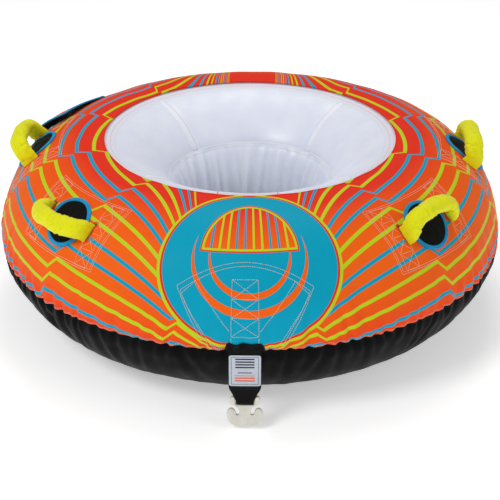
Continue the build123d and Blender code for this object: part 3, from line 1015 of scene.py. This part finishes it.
# Blank label inside the well, with a printed line round it
LABEL_TOP = float(climb_at(angle_at_radius(0.352)))
LABEL_BOTTOM = float(climb_at(angle_at_radius(0.303)))
u, v = rounded_grid(0.150, LABEL_BOTTOM - LABEL_TOP, 0.006, 40, 16)
middle_climb = (LABEL_TOP + LABEL_BOTTOM) / 2
dress(
    block_piece(
        "well_label_film", u, v, 0.0008 + 0 * u, 0.0002 + 0 * u,
        lambda a, c, h: on_outline(
            a / radius_at(middle_climb + c), angle_at(middle_climb + c),
            bladder_lift(a / 0.3, middle_climb + c) - BLADDER_DEPTH + h,
        ),
        replaces=["well_label"], slot="label",
    ),
    "well_label",
)

# ---- Floor of the well and its drains ---------------------------------------------------------------

DRAIN_CIRCLE = 0.110
DRAIN_RADIUS = 0.0058


def floor_cloth():
    """Disc of cloth with drain holes: rings of points, with the faces over each hole left out."""
    drains = [(DRAIN_CIRCLE * math.cos(a), DRAIN_CIRCLE * math.sin(a)) for a in np.radians([0, 90, 180, 270])]
    rows, columns = 101, 240
    r = np.linspace(0.004, CROWN_RADIUS, rows)[:, None]
    t = np.linspace(0, 2 * math.pi, columns, endpoint=False)[None, :]
    x, y = r * np.cos(t), r * np.sin(t)
    hole = np.zeros(x.shape, bool)
    for cx, cy in drains:
        hole |= np.hypot(x - cx, y - cy) < DRAIN_RADIUS
    sag = 0.0007 * (1 + np.sin(9 * t + 30 * r)) * np.clip((0.16 - r) / 0.1, 0, 1)
    z = np.broadcast_to(0.0015 + sag, x.shape)
    faces = [f for f in grid_faces(rows, columns, wrap_columns=True) if not hole.ravel()[f].any()]
    used = np.unique(np.concatenate(faces))
    order = -np.ones(rows * columns, int)
    order[used] = np.arange(len(used))
    points = np.stack([x, y, z], axis=-1).reshape(-1, 3)[used]
    faces = [tuple(order[i] for i in f) for f in faces] + [tuple(order[columns - 1 :: -1])]
    obj = mesh_object(
        "floor_cloth", points, faces, replaces=["floor_panel"], slot="cover_black",
        attributes={"flat": points},
    )
    solid = obj.modifiers.new("thickness", "SOLIDIFY")
    solid.thickness = 0.0015
    solid.offset = -1 if obj.data.polygons[0].normal.z > 0 else 1
    return obj


floor_piece = dress(floor_cloth(), "black")
dress(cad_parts["drain_grommets"], "metal")

# ---- Handles ----------------------------------------------------------------------------------------

PAD_RADIUS = 0.0545
BIND_LOOP = 0.0585
HINGE_HEIGHT = 0.017
ANCHOR_OFFSET = 0.098
SLEEVE_PATH = (
    (0.0800, -0.0250), (0.0800, -0.0150), (0.0775, -0.0030), (0.0715, 0.0120), (0.0600, 0.0270), (0.0390, 0.0350),
)


def smooth_path(points, rounds=4):
    """Corner cutting: a smooth line through a few control points, ends kept."""
    line = np.asarray(points, float)
    for _ in range(rounds):
        a, b = line[:-1], line[1:]
        cut = np.stack([0.75 * a + 0.25 * b, 0.25 * a + 0.75 * b], axis=1).reshape(-1, line.shape[1])
        line = np.concatenate([line[:1], cut[1:-1], line[-1:]])
    return line


def even_path(line, count):
    length = np.concatenate([[0], np.cumsum(np.linalg.norm(np.diff(line, axis=0), axis=1))])
    at = np.linspace(0, length[-1], count)
    return np.stack([np.interp(at, length, line[:, k]) for k in range(line.shape[1])], axis=1), at


def arch_line(count, low=-1.0):
    """The grip's centre line: (distance along the circumference, height over the hinge)."""
    half = [p for p in SLEEVE_PATH if p[1] >= low]
    points = [(-u, h) for u, h in half] + [(0.0, 0.0365)] + [(u, h) for u, h in reversed(half)]
    return even_path(smooth_path(points), count)


def tube_along(line, half_wide, half_thick, sides, power=1.0):
    """Points of a tube: the line is in a plane, its width is across that plane."""
    ahead = np.gradient(line, axis=0)
    ahead /= np.linalg.norm(ahead, axis=1)[:, None]
    up = np.stack([-ahead[:, 1], ahead[:, 0]], axis=1)
    t = np.linspace(0, 2 * math.pi, sides, endpoint=False)
    wide, thick = blunt(np.cos(t), power), blunt(np.sin(t), power)
    across = half_wide[:, None] * wide[None, :]
    u = line[:, None, 0] + up[:, None, 0] * half_thick[:, None] * thick[None, :]
    h = line[:, None, 1] + up[:, None, 1] * half_thick[:, None] * thick[None, :]
    return u, across, h


def closed_tube_faces(rows, columns):
    faces = [tuple(f) for f in grid_faces(rows, columns, wrap_columns=True)]
    first, last = list(range(columns)), list(range((rows - 1) * columns, rows * columns))
    return faces + [tuple(reversed(first)), tuple(last)]


def sleeve_points(seed):
    """A stuffed sleeve: full in the middle, flat where its ends go into the slits, with folds."""
    rows, sides = 104, 40
    line, at = arch_line(rows)
    span = at[-1]
    end = np.minimum(at, span - at)
    full = np.clip((end - 0.005) / 0.036, 0, 1)
    full = full * full * (3 - 2 * full)
    half_wide = 0.0252 - 0.0022 * full
    half_thick = 0.0030 + 0.0132 * full
    roll = np.random.default_rng(seed)
    t = np.linspace(0, 2 * math.pi, sides, endpoint=False)[None, :]
    folds = np.zeros((rows, sides))
    for _ in range(26):
        centre = roll.uniform(0.01, span - 0.01)
        side = roll.uniform(math.pi * 1.05, math.pi * 1.95) if roll.random() < 0.7 else roll.uniform(0, 6.28)
        width, reach, lean = roll.uniform(0.0022, 0.004), roll.uniform(0.5, 1.1), roll.uniform(-0.006, 0.006)
        x = at[:, None] - centre - lean * turn(t - side)
        fade = np.exp(-((turn(t - side) / reach) ** 2))
        folds += roll.uniform(0.0012, 0.0028) * fade * (
            0.6 * np.exp(-(((np.abs(x) - 1.8 * width) / width) ** 2)) - np.exp(-((x / width) ** 2))
        )
    lumpy = 0.0007 * np.sin(at[:, None] * 90 + 2 * np.cos(t) + seed) + 0.0005 * np.sin(3 * t + at[:, None] * 50)
    u, across, h = tube_along(line, half_wide, half_thick, sides, 0.85)
    grow = 1 + (folds + lumpy) * np.clip(end / 0.02, 0.15, 1)[:, None] / 0.016
    middle_u, middle_h = line[:, None, 0], line[:, None, 1]
    u = middle_u + (u - middle_u) * grow
    h = middle_h + (h - middle_h) * grow
    across = across * (1 + 0.7 * (grow - 1))
    points = np.stack([u, across, h], axis=-1)
    flat = np.stack([np.repeat(at[:, None], sides, axis=1), 0.02 * np.repeat(t, rows, axis=0), 0 * u], axis=-1)
    return points.reshape(-1, 3), flat.reshape(-1, 3), closed_tube_faces(rows, sides), rows, sides


INFLATING_FRAMES = 20


def inflate(points, faces, pinned, cap):
    """Cloth simulation with air inside and no gravity. Pinned points stay; no point moves past the cap."""
    mesh = bpy.data.meshes.new("inflating")
    mesh.from_pydata([tuple(p) for p in points], [], [tuple(f) for f in faces])
    obj = bpy.data.objects.new("inflating", mesh)
    bpy.context.scene.collection.objects.link(obj)
    group = obj.vertex_groups.new(name="pin")
    group.add([int(i) for i in pinned], 1.0, "REPLACE")
    cloth = obj.modifiers.new("cloth", "CLOTH")
    cloth.settings.quality = 6
    cloth.settings.mass = 0.25
    cloth.settings.tension_stiffness = 18
    cloth.settings.compression_stiffness = 12
    cloth.settings.bending_stiffness = 0.35
    cloth.settings.shrink_min = -0.045
    cloth.settings.use_pressure = True
    cloth.settings.uniform_pressure_force = 4
    cloth.settings.vertex_group_mass = "pin"
    cloth.settings.effector_weights.gravity = 0
    cloth.collision_settings.use_self_collision = False
    cloth.point_cache.frame_start, cloth.point_cache.frame_end = 1, INFLATING_FRAMES
    for number in range(1, INFLATING_FRAMES + 1):
        bpy.context.scene.frame_set(number)
    evaluated = obj.evaluated_get(bpy.context.evaluated_depsgraph_get())
    moved = np.empty(len(points) * 3, np.float32)
    evaluated.data.vertices.foreach_get("co", moved)
    moved = moved.reshape(-1, 3).astype(float)
    bpy.data.objects.remove(obj)
    bpy.context.scene.frame_set(1)
    step = moved - points
    size = np.linalg.norm(step, axis=1)[:, None]
    return points + step * np.minimum(1, cap / np.maximum(size, 1e-9))


sleeve_shapes = []
for seed in (3, 8):
    points, flat, faces, rows, sides = sleeve_points(seed)
    ends = [i for i in range(rows * sides) if not 5 <= i // sides < rows - 5]
    points = inflate(points * np.array([1, 0.97, 1]), faces, ends, 0.005)
    sleeve_shapes.append((points, flat, faces))


def subdivided(obj):
    modifier = obj.modifiers.new("smooth", "SUBSURF")
    modifier.levels = modifier.render_levels = 1
    return obj


for index, (name, (azimuth, angle, lean)) in enumerate(HANDLES.items()):
    az, phi, tilt = math.radians(azimuth), math.radians(angle), math.radians(lean)
    origin = on_outline(np.array(az), np.array(phi), 0.0)
    along = np.array([math.cos(az), math.sin(az), 0.0])
    normal = on_outline(np.array(az), np.array(phi), 1.0) - origin
    normal /= np.linalg.norm(normal)
    up_section = np.cross(normal, along)

    def on_cover(u, v, lift, azimuth=azimuth, angle=angle):
        a, c = around(azimuth, angle, u, v)
        return skin(a, c, lift)

    def on_grip(points, tilt=tilt, origin=origin, along=along, normal=normal, up_section=up_section):
        """Grip coordinates (along, across, height over the hinge) to the tube's own."""
        u, across, h = points[:, 0], points[:, 1], points[:, 2]
        share = np.clip((h + 0.008) / 0.02, 0, 1)
        lean_here = tilt * share * share * (3 - 2 * share)
        out = h * np.cos(lean_here) - across * np.sin(lean_here)
        side = h * np.sin(lean_here) + across * np.cos(lean_here)
        return (
            origin + HINGE_HEIGHT * normal + u[:, None] * along + side[:, None] * up_section + out[:, None] * normal
        )

    body = f"grip_{name}"

    # Round pad of neoprene with a bound edge
    ring, round_t = np.meshgrid(np.linspace(0.0005, PAD_RADIUS, 26), np.linspace(0, 2 * math.pi, 72), indexing="ij")
    pad_u, pad_v = ring * np.cos(round_t), ring * np.sin(round_t)
    pad_top = 0.0034 + 0.0012 * (1 - (ring / PAD_RADIUS) ** 2) + 0.0004 * np.sin(7 * round_t + 90 * ring)
    rows, columns = ring.shape[0], ring.shape[1] - 1
    top = on_cover(pad_u[:, :-1], pad_v[:, :-1], pad_top[:, :-1]).reshape(-1, 3)
    low = on_cover(pad_u[:, :-1], pad_v[:, :-1], 0.0003).reshape(-1, 3)
    upper = grid_faces(rows, columns, wrap_columns=True)
    edge = np.arange((rows - 1) * columns, rows * columns)
    after = np.roll(edge, -1)
    count = rows * columns
    faces = [tuple(f) for f in upper] + [tuple(f[::-1] + count) for f in upper]
    faces += [tuple(range(columns))[::-1], tuple(range(count, count + columns))]
    faces += [(edge[k], after[k], after[k] + count, edge[k] + count) for k in range(columns)]
    flat = np.stack([pad_u[:, :-1], pad_v[:, :-1], 0 * pad_u[:, :-1]], axis=-1).reshape(-1, 3)
    pad = mesh_object(
        f"{name}_round_pad", np.concatenate([top, low]), faces, replaces=[f"{name}_pad"], slot="neoprene",
        attributes={"flat": np.concatenate([flat, flat])},
    )
    dress(pad, "neoprene")

    turn_t = np.linspace(0, 2 * math.pi, 144, endpoint=False)
    loop = BIND_LOOP * np.stack([np.cos(turn_t), np.sin(turn_t)], axis=1)
    tape = piping(
        f"{name}_edge_binding", loop, loop / BIND_LOOP, dome_profile(-0.0048, 0.0048, 0.0044, 0.0003), on_cover,
        replaces=[f"{name}_binding"], slot="binding",
    )
    dress(tape, "binding")
    whole = np.append(turn_t, 2 * math.pi)
    circle = np.stack([np.cos(whole), np.sin(whole)], axis=1)
    sewn = [(BIND_LOOP + d) * circle for d in (-0.0024, 0.0024)]
    dress(stitches(f"{name}_binding_stitching", sewn, on_cover, lift=0.0047, slot="binding"), "blue_thread")

    # Slits that the grip's ends go into: dark red sheets paint the shadow inside each slit, with raised lips round
    # them
    slits, lips = [], []
    for side in (-1, 1):
        u, v = rounded_grid(0.0085, 0.050, 0.004, 7, 24)
        slits.append(shell(u + side * SLIT_OFFSET, v, 0.0006 + 0 * u, 0.0001 + 0 * u, on_cover))
        loop, out = rounded_loop(0.0125, 0.055, 0.006, 72)
        profile = dome_profile(-0.0014, 0.0014, 0.0017, 0.0)
        u = side * SLIT_OFFSET + loop[:, None, 0] + out[:, None, 0] * profile[None, :, 0]
        v = loop[:, None, 1] + out[:, None, 1] * profile[None, :, 0]
        p = on_cover(u, v, np.repeat(profile[None, :, 1], len(loop), axis=0)).reshape(-1, 3)
        lips.append((p, grid_faces(len(loop), len(profile), True, True)))
    dress(mesh_object(f"{name}_slits", *joined(slits), slot="cover_print"), "shadow")
    dress(mesh_object(f"{name}_slit_lips", *joined(lips), slot="cover_print"), "lips")

    # Patch and webbing sewn behind the cover
    u, v = rounded_grid(0.270, 0.172, 0.006, 60, 40)
    patch = block_piece(
        f"{name}_backing_cloth", u, v, -0.0016 + 0 * u, -0.0021 + 0 * u, on_cover,
        replaces=[f"{name}_backing"], slot="backing",
    )
    dress(patch, "backing")
    anchors = []
    for side in (-1, 1):
        u, v = np.meshgrid(np.linspace(-0.020, 0.020, 11), np.linspace(-0.083, 0.083, 42))
        anchors.append(shell(u + side * ANCHOR_OFFSET, v, -0.0022 + 0 * u, -0.0033 + 0 * u, on_cover))
    points, faces = joined(anchors)
    dress(
        mesh_object(
            f"{name}_anchor_webbing", points, faces, replaces=[f"{name}_anchor"],
            slot="webbing", attributes={"flat": points},
        ),
        "webbing",
    )

    # Stitching: two lines round the patch, and boxes with crosses over the hidden webbing
    lines = []
    for width, height in ((0.268, 0.170), (0.258, 0.160)):
        x, y = width / 2, height / 2
        lines.append([(-x, -y), (x, -y), (x, y), (-x, y), (-x, -y)])
    for side in (-1, 1):
        near, far = side * (ANCHOR_OFFSET - 0.019), side * (ANCHOR_OFFSET + 0.019)
        levels = np.linspace(-0.081, 0.081, 5)
        lines += [[(near, levels[0]), (near, levels[-1])], [(far, levels[0]), (far, levels[-1])]]
        lines += [[(near, level), (far, level)] for level in levels]
        for low_v, high_v in zip(levels[:-1], levels[1:]):
            lines += [[(near, low_v), (far, high_v)], [(near, high_v), (far, low_v)]]
    dress(stitches(f"{name}_stitching", lines, on_cover, slot="cover_print"), "thread")

    # Grip: sleeve, foam core and webbing
    points, flat, faces = sleeve_shapes[index % len(sleeve_shapes)]
    if index >= 2:
        points = points * np.array([-1, 1, 1])
        faces = [tuple(f)[::-1] for f in faces]
    sleeve = mesh_object(
        f"{name}_grip_sleeve", on_grip(points), faces, body=None, replaces=[f"{name}_sleeve"], slot="grip_fabric",
        attributes={"flat": flat},
    )
    dress(subdivided(sleeve), "grip")
    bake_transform(sleeve)

    line, at = arch_line(60, low=0.010)
    taper = np.clip(np.minimum(at, at[-1] - at) / 0.012, 0.3, 1) ** 0.6
    u, across, h = tube_along(line, 0.0150 * taper, 0.0100 * taper, 24)
    core_points = np.stack([u, across, h], axis=-1).reshape(-1, 3)
    core = mesh_object(
        f"{name}_foam_core", on_grip(core_points), closed_tube_faces(60, 24), body=body,
        replaces=[f"{name}_foam"], slot="foam", attributes={"flat": core_points},
    )
    dress(core, "foam")
    line, at = arch_line(80)
    u, across, h = tube_along(line, np.full(80, 0.0125), np.full(80, 0.0011), 16, 0.4)
    strap_points = np.stack([u, across, h], axis=-1).reshape(-1, 3)
    inner = mesh_object(
        f"{name}_grip_webbing", on_grip(strap_points), closed_tube_faces(80, 16), body=None,
        replaces=[f"{name}_webbing"], slot="webbing", attributes={"flat": strap_points[:, [1, 0, 2]]},
    )
    dress(inner, "webbing")
    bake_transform(inner)

# ---- Tow point ------------------------------------------------------------------------------------


def at_front(u, c, lift):
    """A place at the front of the cover: u along the circumference at the girth, and a climb."""
    return skin(u / GIRTH, c, lift)


STRAP_PIVOT = np.array([0.0, -0.646, 0.200])
STRAP_LEAN = math.radians(4)
STRAP_DOWN = np.array([0.0, -math.sin(STRAP_LEAN), -math.cos(STRAP_LEAN)])
STRAP_OUT = np.array([0.0, -math.cos(STRAP_LEAN), math.sin(STRAP_LEAN)])
BAR_DROP = 0.130
SIDEWAYS = np.array([1.0, 0, 0])


def on_strap(x, drop, out):
    x, drop, out = np.broadcast_arrays(x, drop, out)
    return STRAP_PIVOT + x[..., None] * SIDEWAYS + drop[..., None] * STRAP_DOWN + out[..., None] * STRAP_OUT


def fan_piece(name, low_width, high_width, low, high, top, bottom, look_name, **kw):
    share, across = np.meshgrid(np.linspace(0, 1, 44), np.linspace(-1, 1, 50), indexing="ij")
    u = across * (low_width + (high_width - low_width) * share) / 2
    c = low + (high - low) * share
    return dress(block_piece(name, u, c, top + 0 * u, bottom + 0 * u, at_front, **kw), look_name)


fan_piece(
    "tow_backing_cloth", 0.160, 0.300, 0.006, 0.190, -0.0016, -0.0021, "backing",
    replaces=["tow_reinforcement"], slot="backing",
)
fan_piece(
    "tow_anchor_webbing", 0.074, 0.074, 0.006, 0.156, -0.0022, -0.0034, "webbing",
    replaces=["tow_anchor"], slot="webbing",
)

fan_lines = []
for grow in (0.0, 0.009):
    reach = 0.152 + grow
    arc = [(x, 0.196 + grow - 0.062 * (x / reach) ** 2) for x in np.linspace(-reach, reach, 41)]
    fan_lines.append([(-0.082 - grow, 0.012)] + arc + [(0.082 + grow, 0.012)])
levels = np.linspace(0.036, 0.166, 4)
for side in (-1, 1):
    fan_lines.append([(side * 0.031, levels[0]), (side * 0.031, levels[-1])])
    fan_lines.append([(side * 0.034, 0.048), (side * 0.118, 0.158), (side * 0.150, 0.126), (side * 0.075, 0.014)])
    fan_lines.append([(side * 0.031, 0.018), (side * 0.031, levels[0])])
for level in levels:
    fan_lines.append([(-0.031, level), (0.031, level)])
for low_c, high_c in zip(levels[:-1], levels[1:]):
    fan_lines += [[(-0.031, low_c), (0.031, high_c)], [(-0.031, high_c), (0.031, low_c)]]
dress(stitches("tow_stitching", fan_lines, at_front, slot="cover_print"), "thread")

SHOULDER_LOW, SHOULDER_RISE = -0.004, 0.0250


def shoulder():
    """Folded webbing sewn over the seam: narrower at its top, with a rolled, wavy edge."""
    share, across = np.meshgrid(np.linspace(0, 1, 26), np.linspace(-1, 1, 44), indexing="ij")
    half = 0.0462 - 0.0050 * share**2.2
    corner = np.clip((np.abs(across) - 0.82) / 0.18, 0, 1)
    u = across * half
    c = SHOULDER_LOW + SHOULDER_RISE * share - 0.006 * corner**2 * share + 0.0005 * np.sin(5 * across + 1) * share
    thick = 0.0024 + 0.0014 * np.exp(-(((share - 0.9) / 0.12) ** 2)) + 0.0008 * np.sin(7 * across + 3 * share) ** 2
    thick = thick * (1 - 0.75 * np.clip((np.abs(across) - 0.93) / 0.07, 0, 1) ** 2)
    return block_piece(
        "tow_shoulder_webbing", u, c, thick, 0.0003 + 0 * u, at_front, replaces=["tow_shoulder"], slot="webbing"
    )


dress(subdivided(shoulder()), "webbing")


STRAP_HALVES = (  # below the pivot, and half the strap's width there
    (-0.02, 0.037), (0.092, 0.037), (0.100, 0.035), (0.124, 0.0207), (0.131, 0.0204), (0.1368, 0.0175),
)


def strap():
    """One long webbing, down, round the hook's bar and up again behind."""
    front = [(-0.011, -0.0045), (-0.004, -0.0005), (0.004, 0.0011), (0.060, 0.0013), (0.096, 0.0012), (0.112, 0.0030)]
    turn_round = [
        (BAR_DROP + 0.0067 * math.sin(a), 0.0067 * math.cos(a)) for a in np.radians(np.linspace(-20, 200, 25))
    ]
    back = [(d, -n) for d, n in reversed(front[2:])] + [(-0.004, -0.0030), (-0.010, -0.0068)]
    path = np.array(smooth_path(front, 2).tolist() + turn_round + smooth_path(back, 2).tolist())
    path, at = even_path(path, 190)
    ahead = np.gradient(path, axis=0)
    ahead /= np.linalg.norm(ahead, axis=1)[:, None]
    side = np.stack([-ahead[:, 1], ahead[:, 0]], axis=1)
    drop = path[:, 0]
    # The webbing folds narrower towards the hook's window
    half = np.interp(drop, *np.transpose(STRAP_HALVES))
    half = half * (1 - 0.03 * np.clip((drop - 0.136) / 0.004, 0, 1))
    sides = 28
    t = np.linspace(0, 2 * math.pi, sides, endpoint=False)
    wide, thick = blunt(np.cos(t), 0.35), blunt(np.sin(t), 0.35)
    x = half[:, None] * wide[None, :]
    edge_roll = 0.0004 * np.sin(60 * drop)[:, None] * wide[None, :]
    edge_roll = edge_roll + 0.0003 * np.sin(95 * drop[:, None] + 5 * wide[None, :])
    n = thick[None, :] * 0.00095 + edge_roll * np.clip((0.105 - drop) / 0.02, 0, 1)[:, None]
    d = path[:, None, 0] + side[:, None, 0] * n
    out = path[:, None, 1] + side[:, None, 1] * n
    flat = np.stack([x, np.repeat(at[:, None], sides, axis=1), 0 * x], axis=-1).reshape(-1, 3)
    return mesh_object(
        "tow_strap_webbing", on_strap(x, d, out).reshape(-1, 3), closed_tube_faces(len(path), sides), body=None,
        replaces=["tow_strap"], slot="webbing", attributes={"flat": flat},
    )


strap_piece = dress(strap(), "webbing")
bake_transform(strap_piece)

LABEL_DROP = 0.0515
label_u, label_v = rounded_grid(0.072, 0.077, 0.005, 50, 56)


def on_label(u, v, lift):
    return on_strap(u, LABEL_DROP - v, lift)


label_top = 0.0030 + 0.0004 * np.cos(label_u * 40) + 0.0003 * np.sin(label_v * 110 + 1)
label = block_piece(
    "strap_label_cloth", label_u, label_v, label_top, 0.0023 + 0 * label_u, on_label, body="tow_strap",
    replaces=["strap_label"], slot="label",
)
dress(label, "label")
bartacks = [[(-0.031, drop), (0.031, drop)] for drop in (0.094, 0.0985)]
dress(
    stitches("strap_stitching", bartacks, on_strap, lift=0.0024, body="tow_strap", slot="webbing"),
    "dark_thread",
)


HOOK_LEAN = math.radians(8)
HOOK_HALF_THICK = 0.0056
HOOK_EDGE = ((0.0016, 1.0), (0.0007, 0.94), (0.0002, 0.80), (0, 0.62))  # inset, and share of the thickness
BAR_RADIUS, BAR_HALF_LENGTH = 0.005, 0.0222
BAR_ROWS, BAR_SIDES = 12, 32
HOOK_SIDE = (  # half of the outline in millimetres: across, and below the bar
    (0, 8.9), (10, 8.9), (19.0, 8.8), (21.5, 6.6), (21.5, 0), (22.6, -7), (25.4, -11.4), (29.6, -12), (33.4, -8.6),
    (35.2, -2), (34.0, 4.2), (29.6, 8.4), (23.6, 11.6), (17.6, 15.6), (13.6, 22), (12.2, 29.6), (14.6, 34.6),
    (19.6, 33.6), (21.4, 28), (23.4, 22.8), (26.8, 19.2), (31.6, 17.8), (36.8, 20.2), (40.4, 26.4), (41.5, 34.6),
    (39.9, 43.6), (36, 51.4), (29.4, 57.2), (20, 60.3), (8, 61), (0, 61),
)


def tow_hook():
    """Moulded hook: a plate with two curled horns under round shoulders, and a bar for the webbing."""
    side = np.array(HOOK_SIDE) / 1000
    closed = np.concatenate([side, side[-2:0:-1] * np.array([-1, 1])])
    looped = np.concatenate([closed[-3:], closed, closed[:4]])
    outline, _ = even_path(smooth_path(looped, 3), 640)
    # The looped line passes its start twice: once round is what lies between
    far = np.abs(outline - closed[0]).sum(axis=1)
    outline = outline[np.argmin(far[:120]) : 320 + np.argmin(far[320:])]
    ahead = np.roll(outline, -1, axis=0) - np.roll(outline, 1, axis=0)
    ahead /= np.linalg.norm(ahead, axis=1)[:, None]
    inward = np.stack([-ahead[:, 1], ahead[:, 0]], axis=1)
    area = np.sum(outline[:, 0] * np.roll(outline[:, 1], -1) - outline[:, 1] * np.roll(outline[:, 0], -1))
    inward *= np.sign(area)
    pivot = STRAP_PIVOT + BAR_DROP * STRAP_DOWN
    down = np.array([0.0, -math.sin(HOOK_LEAN), -math.cos(HOOK_LEAN)])
    out = np.array([0.0, -math.cos(HOOK_LEAN), math.sin(HOOK_LEAN)])
    rings = []
    for inset, height in HOOK_EDGE + tuple((inset, -height) for inset, height in HOOK_EDGE[::-1]):
        ring = outline + inset * inward
        rings.append(pivot + ring[:, :1] * SIDEWAYS + ring[:, 1:] * down + height * HOOK_HALF_THICK * out)
    count = len(outline)
    points = np.concatenate(rings)
    faces = [tuple(f) for f in grid_faces(len(rings), count, wrap_columns=True)]
    faces += [tuple(range(count))[::-1], tuple(range((len(rings) - 1) * count, len(rings) * count))]
    t = np.linspace(0, 2 * math.pi, BAR_SIDES, endpoint=False)[None, :]
    along = np.linspace(-BAR_HALF_LENGTH, BAR_HALF_LENGTH, BAR_ROWS)[:, None]
    along, below, before = np.broadcast_arrays(along, BAR_RADIUS * np.cos(t), BAR_RADIUS * np.sin(t))
    bar_points = pivot + along[..., None] * SIDEWAYS + below[..., None] * down + before[..., None] * out
    bar_points = bar_points.reshape(-1, 3)
    bar_faces = [tuple(int(i) + len(points) for i in f) for f in closed_tube_faces(BAR_ROWS, BAR_SIDES)]
    return mesh_object(
        "moulded_tow_hook", np.concatenate([points, bar_points]), faces + bar_faces, body="tow_hook",
        replaces=["tow_hook"], slot="hook_plastic",
    )


dress(tow_hook(), "hook")

# ---- Valve and its flap -----------------------------------------------------------------------------

dress(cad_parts["valve_base"], "valve")
dress(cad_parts["valve_cap"], "cap")

FLAP_AZIMUTH, FLAP_ANGLE = -115, 54
FLAP_SIZE, FLAP_CORNER = (0.220, 0.104), 0.028
FLAP_LIFT = math.radians(5)
FLAP_DROOP = 0.85  # how much of the lift the outer side loses


def on_flap(u, v, lift):
    """A place on the flap: it follows the cover's outline, lifted about its rear edge."""
    a, c = around(FLAP_AZIMUTH, FLAP_ANGLE, u, v)
    share = np.clip((u + FLAP_SIZE[0] / 2) / FLAP_SIZE[0], 0, 1)
    droop = FLAP_DROOP * np.clip((-v - 0.020) / 0.028, 0, 1) ** 1.5 * np.clip((share - 0.1) / 0.3, 0, 1)
    rise = FLAP_SIZE[0] * math.tan(FLAP_LIFT) * 1.05 * share * (1 - droop)
    wave = 0.0010 * np.sin(26 * u + 1.0) * np.cos(20 * v) * np.clip((u + 0.11) / 0.06, 0, 1)
    return on_outline(a, angle_at(c), 0.0020 + rise + wave + lift)


flap_turn = np.radians(FLAP_AZIMUTH)
flap_along = np.array([np.cos(flap_turn), np.sin(flap_turn), 0])
rear_edge = on_outline(flap_turn, np.radians(FLAP_ANGLE), 0.0) - 0.108 * flap_along
u, v = rounded_grid(FLAP_SIZE[0] - 0.006, FLAP_SIZE[1] - 0.006, FLAP_CORNER - 0.003, 64, 34)
a, c = around(FLAP_AZIMUTH, FLAP_ANGLE, u, v)
flap_top = block_piece(
    "flap_cloth", u, v, 0.0022 + 0 * u, 0.0013 + 0 * u, on_flap, extra=ground(a, c), body=None,
    replaces=["valve_flap"], slot="cover_print",
)
dress(flap_top, "print")
# Dark lining under the flap, seen where the flap lifts: a real underside, darkened to paint in the shade beneath the
# flap
lining = block_piece("flap_lining_and_shade", u, v, 0.0011 + 0 * u, 0.0003 + 0 * u, on_flap, body=None, slot="cover_black")
dress(lining, "under")
loop, out = rounded_loop(FLAP_SIZE[0] - 0.009, FLAP_SIZE[1] - 0.009, FLAP_CORNER - 0.0045, 220)
flap_tape = piping(
    "flap_edge_binding", loop, out, dome_profile(-0.0042, 0.0042, 0.0036, -0.0004), on_flap, body=None,
    replaces=["valve_flap_binding"], slot="binding",
)
dress(flap_tape, "binding")
closed = np.concatenate([loop, loop[:1]])
flap_sewn = stitches("flap_stitching", [closed], on_flap, lift=0.0036, body=None, slot="binding")
dress(flap_sewn, "blue_thread")
seam_lines = [[(x, -0.042), (x, 0.042)] for x in (-0.100, -0.094)]
flap_seam = stitches("flap_seam_stitching", seam_lines, on_flap, lift=0.0026, body=None, slot="cover_print")
dress(flap_seam, "thread")
for piece in (flap_top, lining, flap_tape, flap_sewn, flap_seam):
    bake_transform(piece)

# ---- Studio --------------------------------------------------------------------------------------------


def pale_floor():
    n = Nodes("studio_floor")
    n.set(Base_Color=n.mix(n.noise(0.6, 2), (0.93, 0.93, 0.93, 1), (0.95, 0.95, 0.95, 1)), Roughness=0.9)
    n.set(Specular_IOR_Level=0.1, Emission_Color=(1, 1, 1, 1), Emission_Strength=0.42)
    mesh = bpy.data.meshes.new("studio_floor")
    half = 14
    mesh.from_pydata([(-half, -half, 0), (half, -half, 0), (half, half, 0), (-half, half, 0)], [], [(0, 1, 2, 3)])
    obj = bpy.data.objects.new("studio_floor", mesh)
    obj.data.materials.append(n.material)
    obj.location.z = -0.0005
    bpy.context.scene.collection.objects.link(obj)


def soft_light(name, place, aim, size, power):
    light = bpy.data.lights.new(name, "AREA")
    light.shape = "DISK"
    light.size = size
    light.energy = power
    obj = bpy.data.objects.new(name, light)
    bpy.context.scene.collection.objects.link(obj)
    obj.location = place
    obj.rotation_mode = "QUATERNION"
    obj.rotation_quaternion = (Vector(aim) - Vector(place)).to_track_quat("-Z", "Y")


pale_floor()
soft_light("key", (-2.3, -2.4, 3.4), (0, 0, 0.25), 1.8, 72)
soft_light("fill", (3.0, -2.2, 2.2), (0, 0, 0.25), 2.4, 24)
soft_light("top", (0.2, 1.4, 3.6), (0, 0, 0.25), 2.2, 40)

world = bpy.data.worlds.new("studio")
world.use_nodes = True
world.node_tree.nodes["Background"].inputs["Color"].default_value = (1, 1, 1, 1)
world.node_tree.nodes["Background"].inputs["Strength"].default_value = 0.32
bpy.context.scene.world = world
bpy.context.scene.view_settings.view_transform = "Standard"

CAMERA_DISTANCE = 3.712
CAMERA_ELEVATION = math.radians(26.2)
CAMERA_AZIMUTH = math.radians(1)
camera = bpy.data.objects.new("camera", bpy.data.cameras.new("camera"))
bpy.context.scene.collection.objects.link(camera)
camera.data.sensor_width = 36
camera.data.lens = 101.5
camera.data.shift_y = -0.0708
away = Vector(
    (
        math.sin(CAMERA_AZIMUTH) * math.cos(CAMERA_ELEVATION),
        -math.cos(CAMERA_AZIMUTH) * math.cos(CAMERA_ELEVATION),
        math.sin(CAMERA_ELEVATION),
    )
)
camera.location = Vector((0, 0, EQUATOR)) + CAMERA_DISTANCE * away
camera.rotation_mode = "QUATERNION"
camera.rotation_quaternion = (-away).to_track_quat("-Z", "Y")
bpy.context.scene.camera = camera
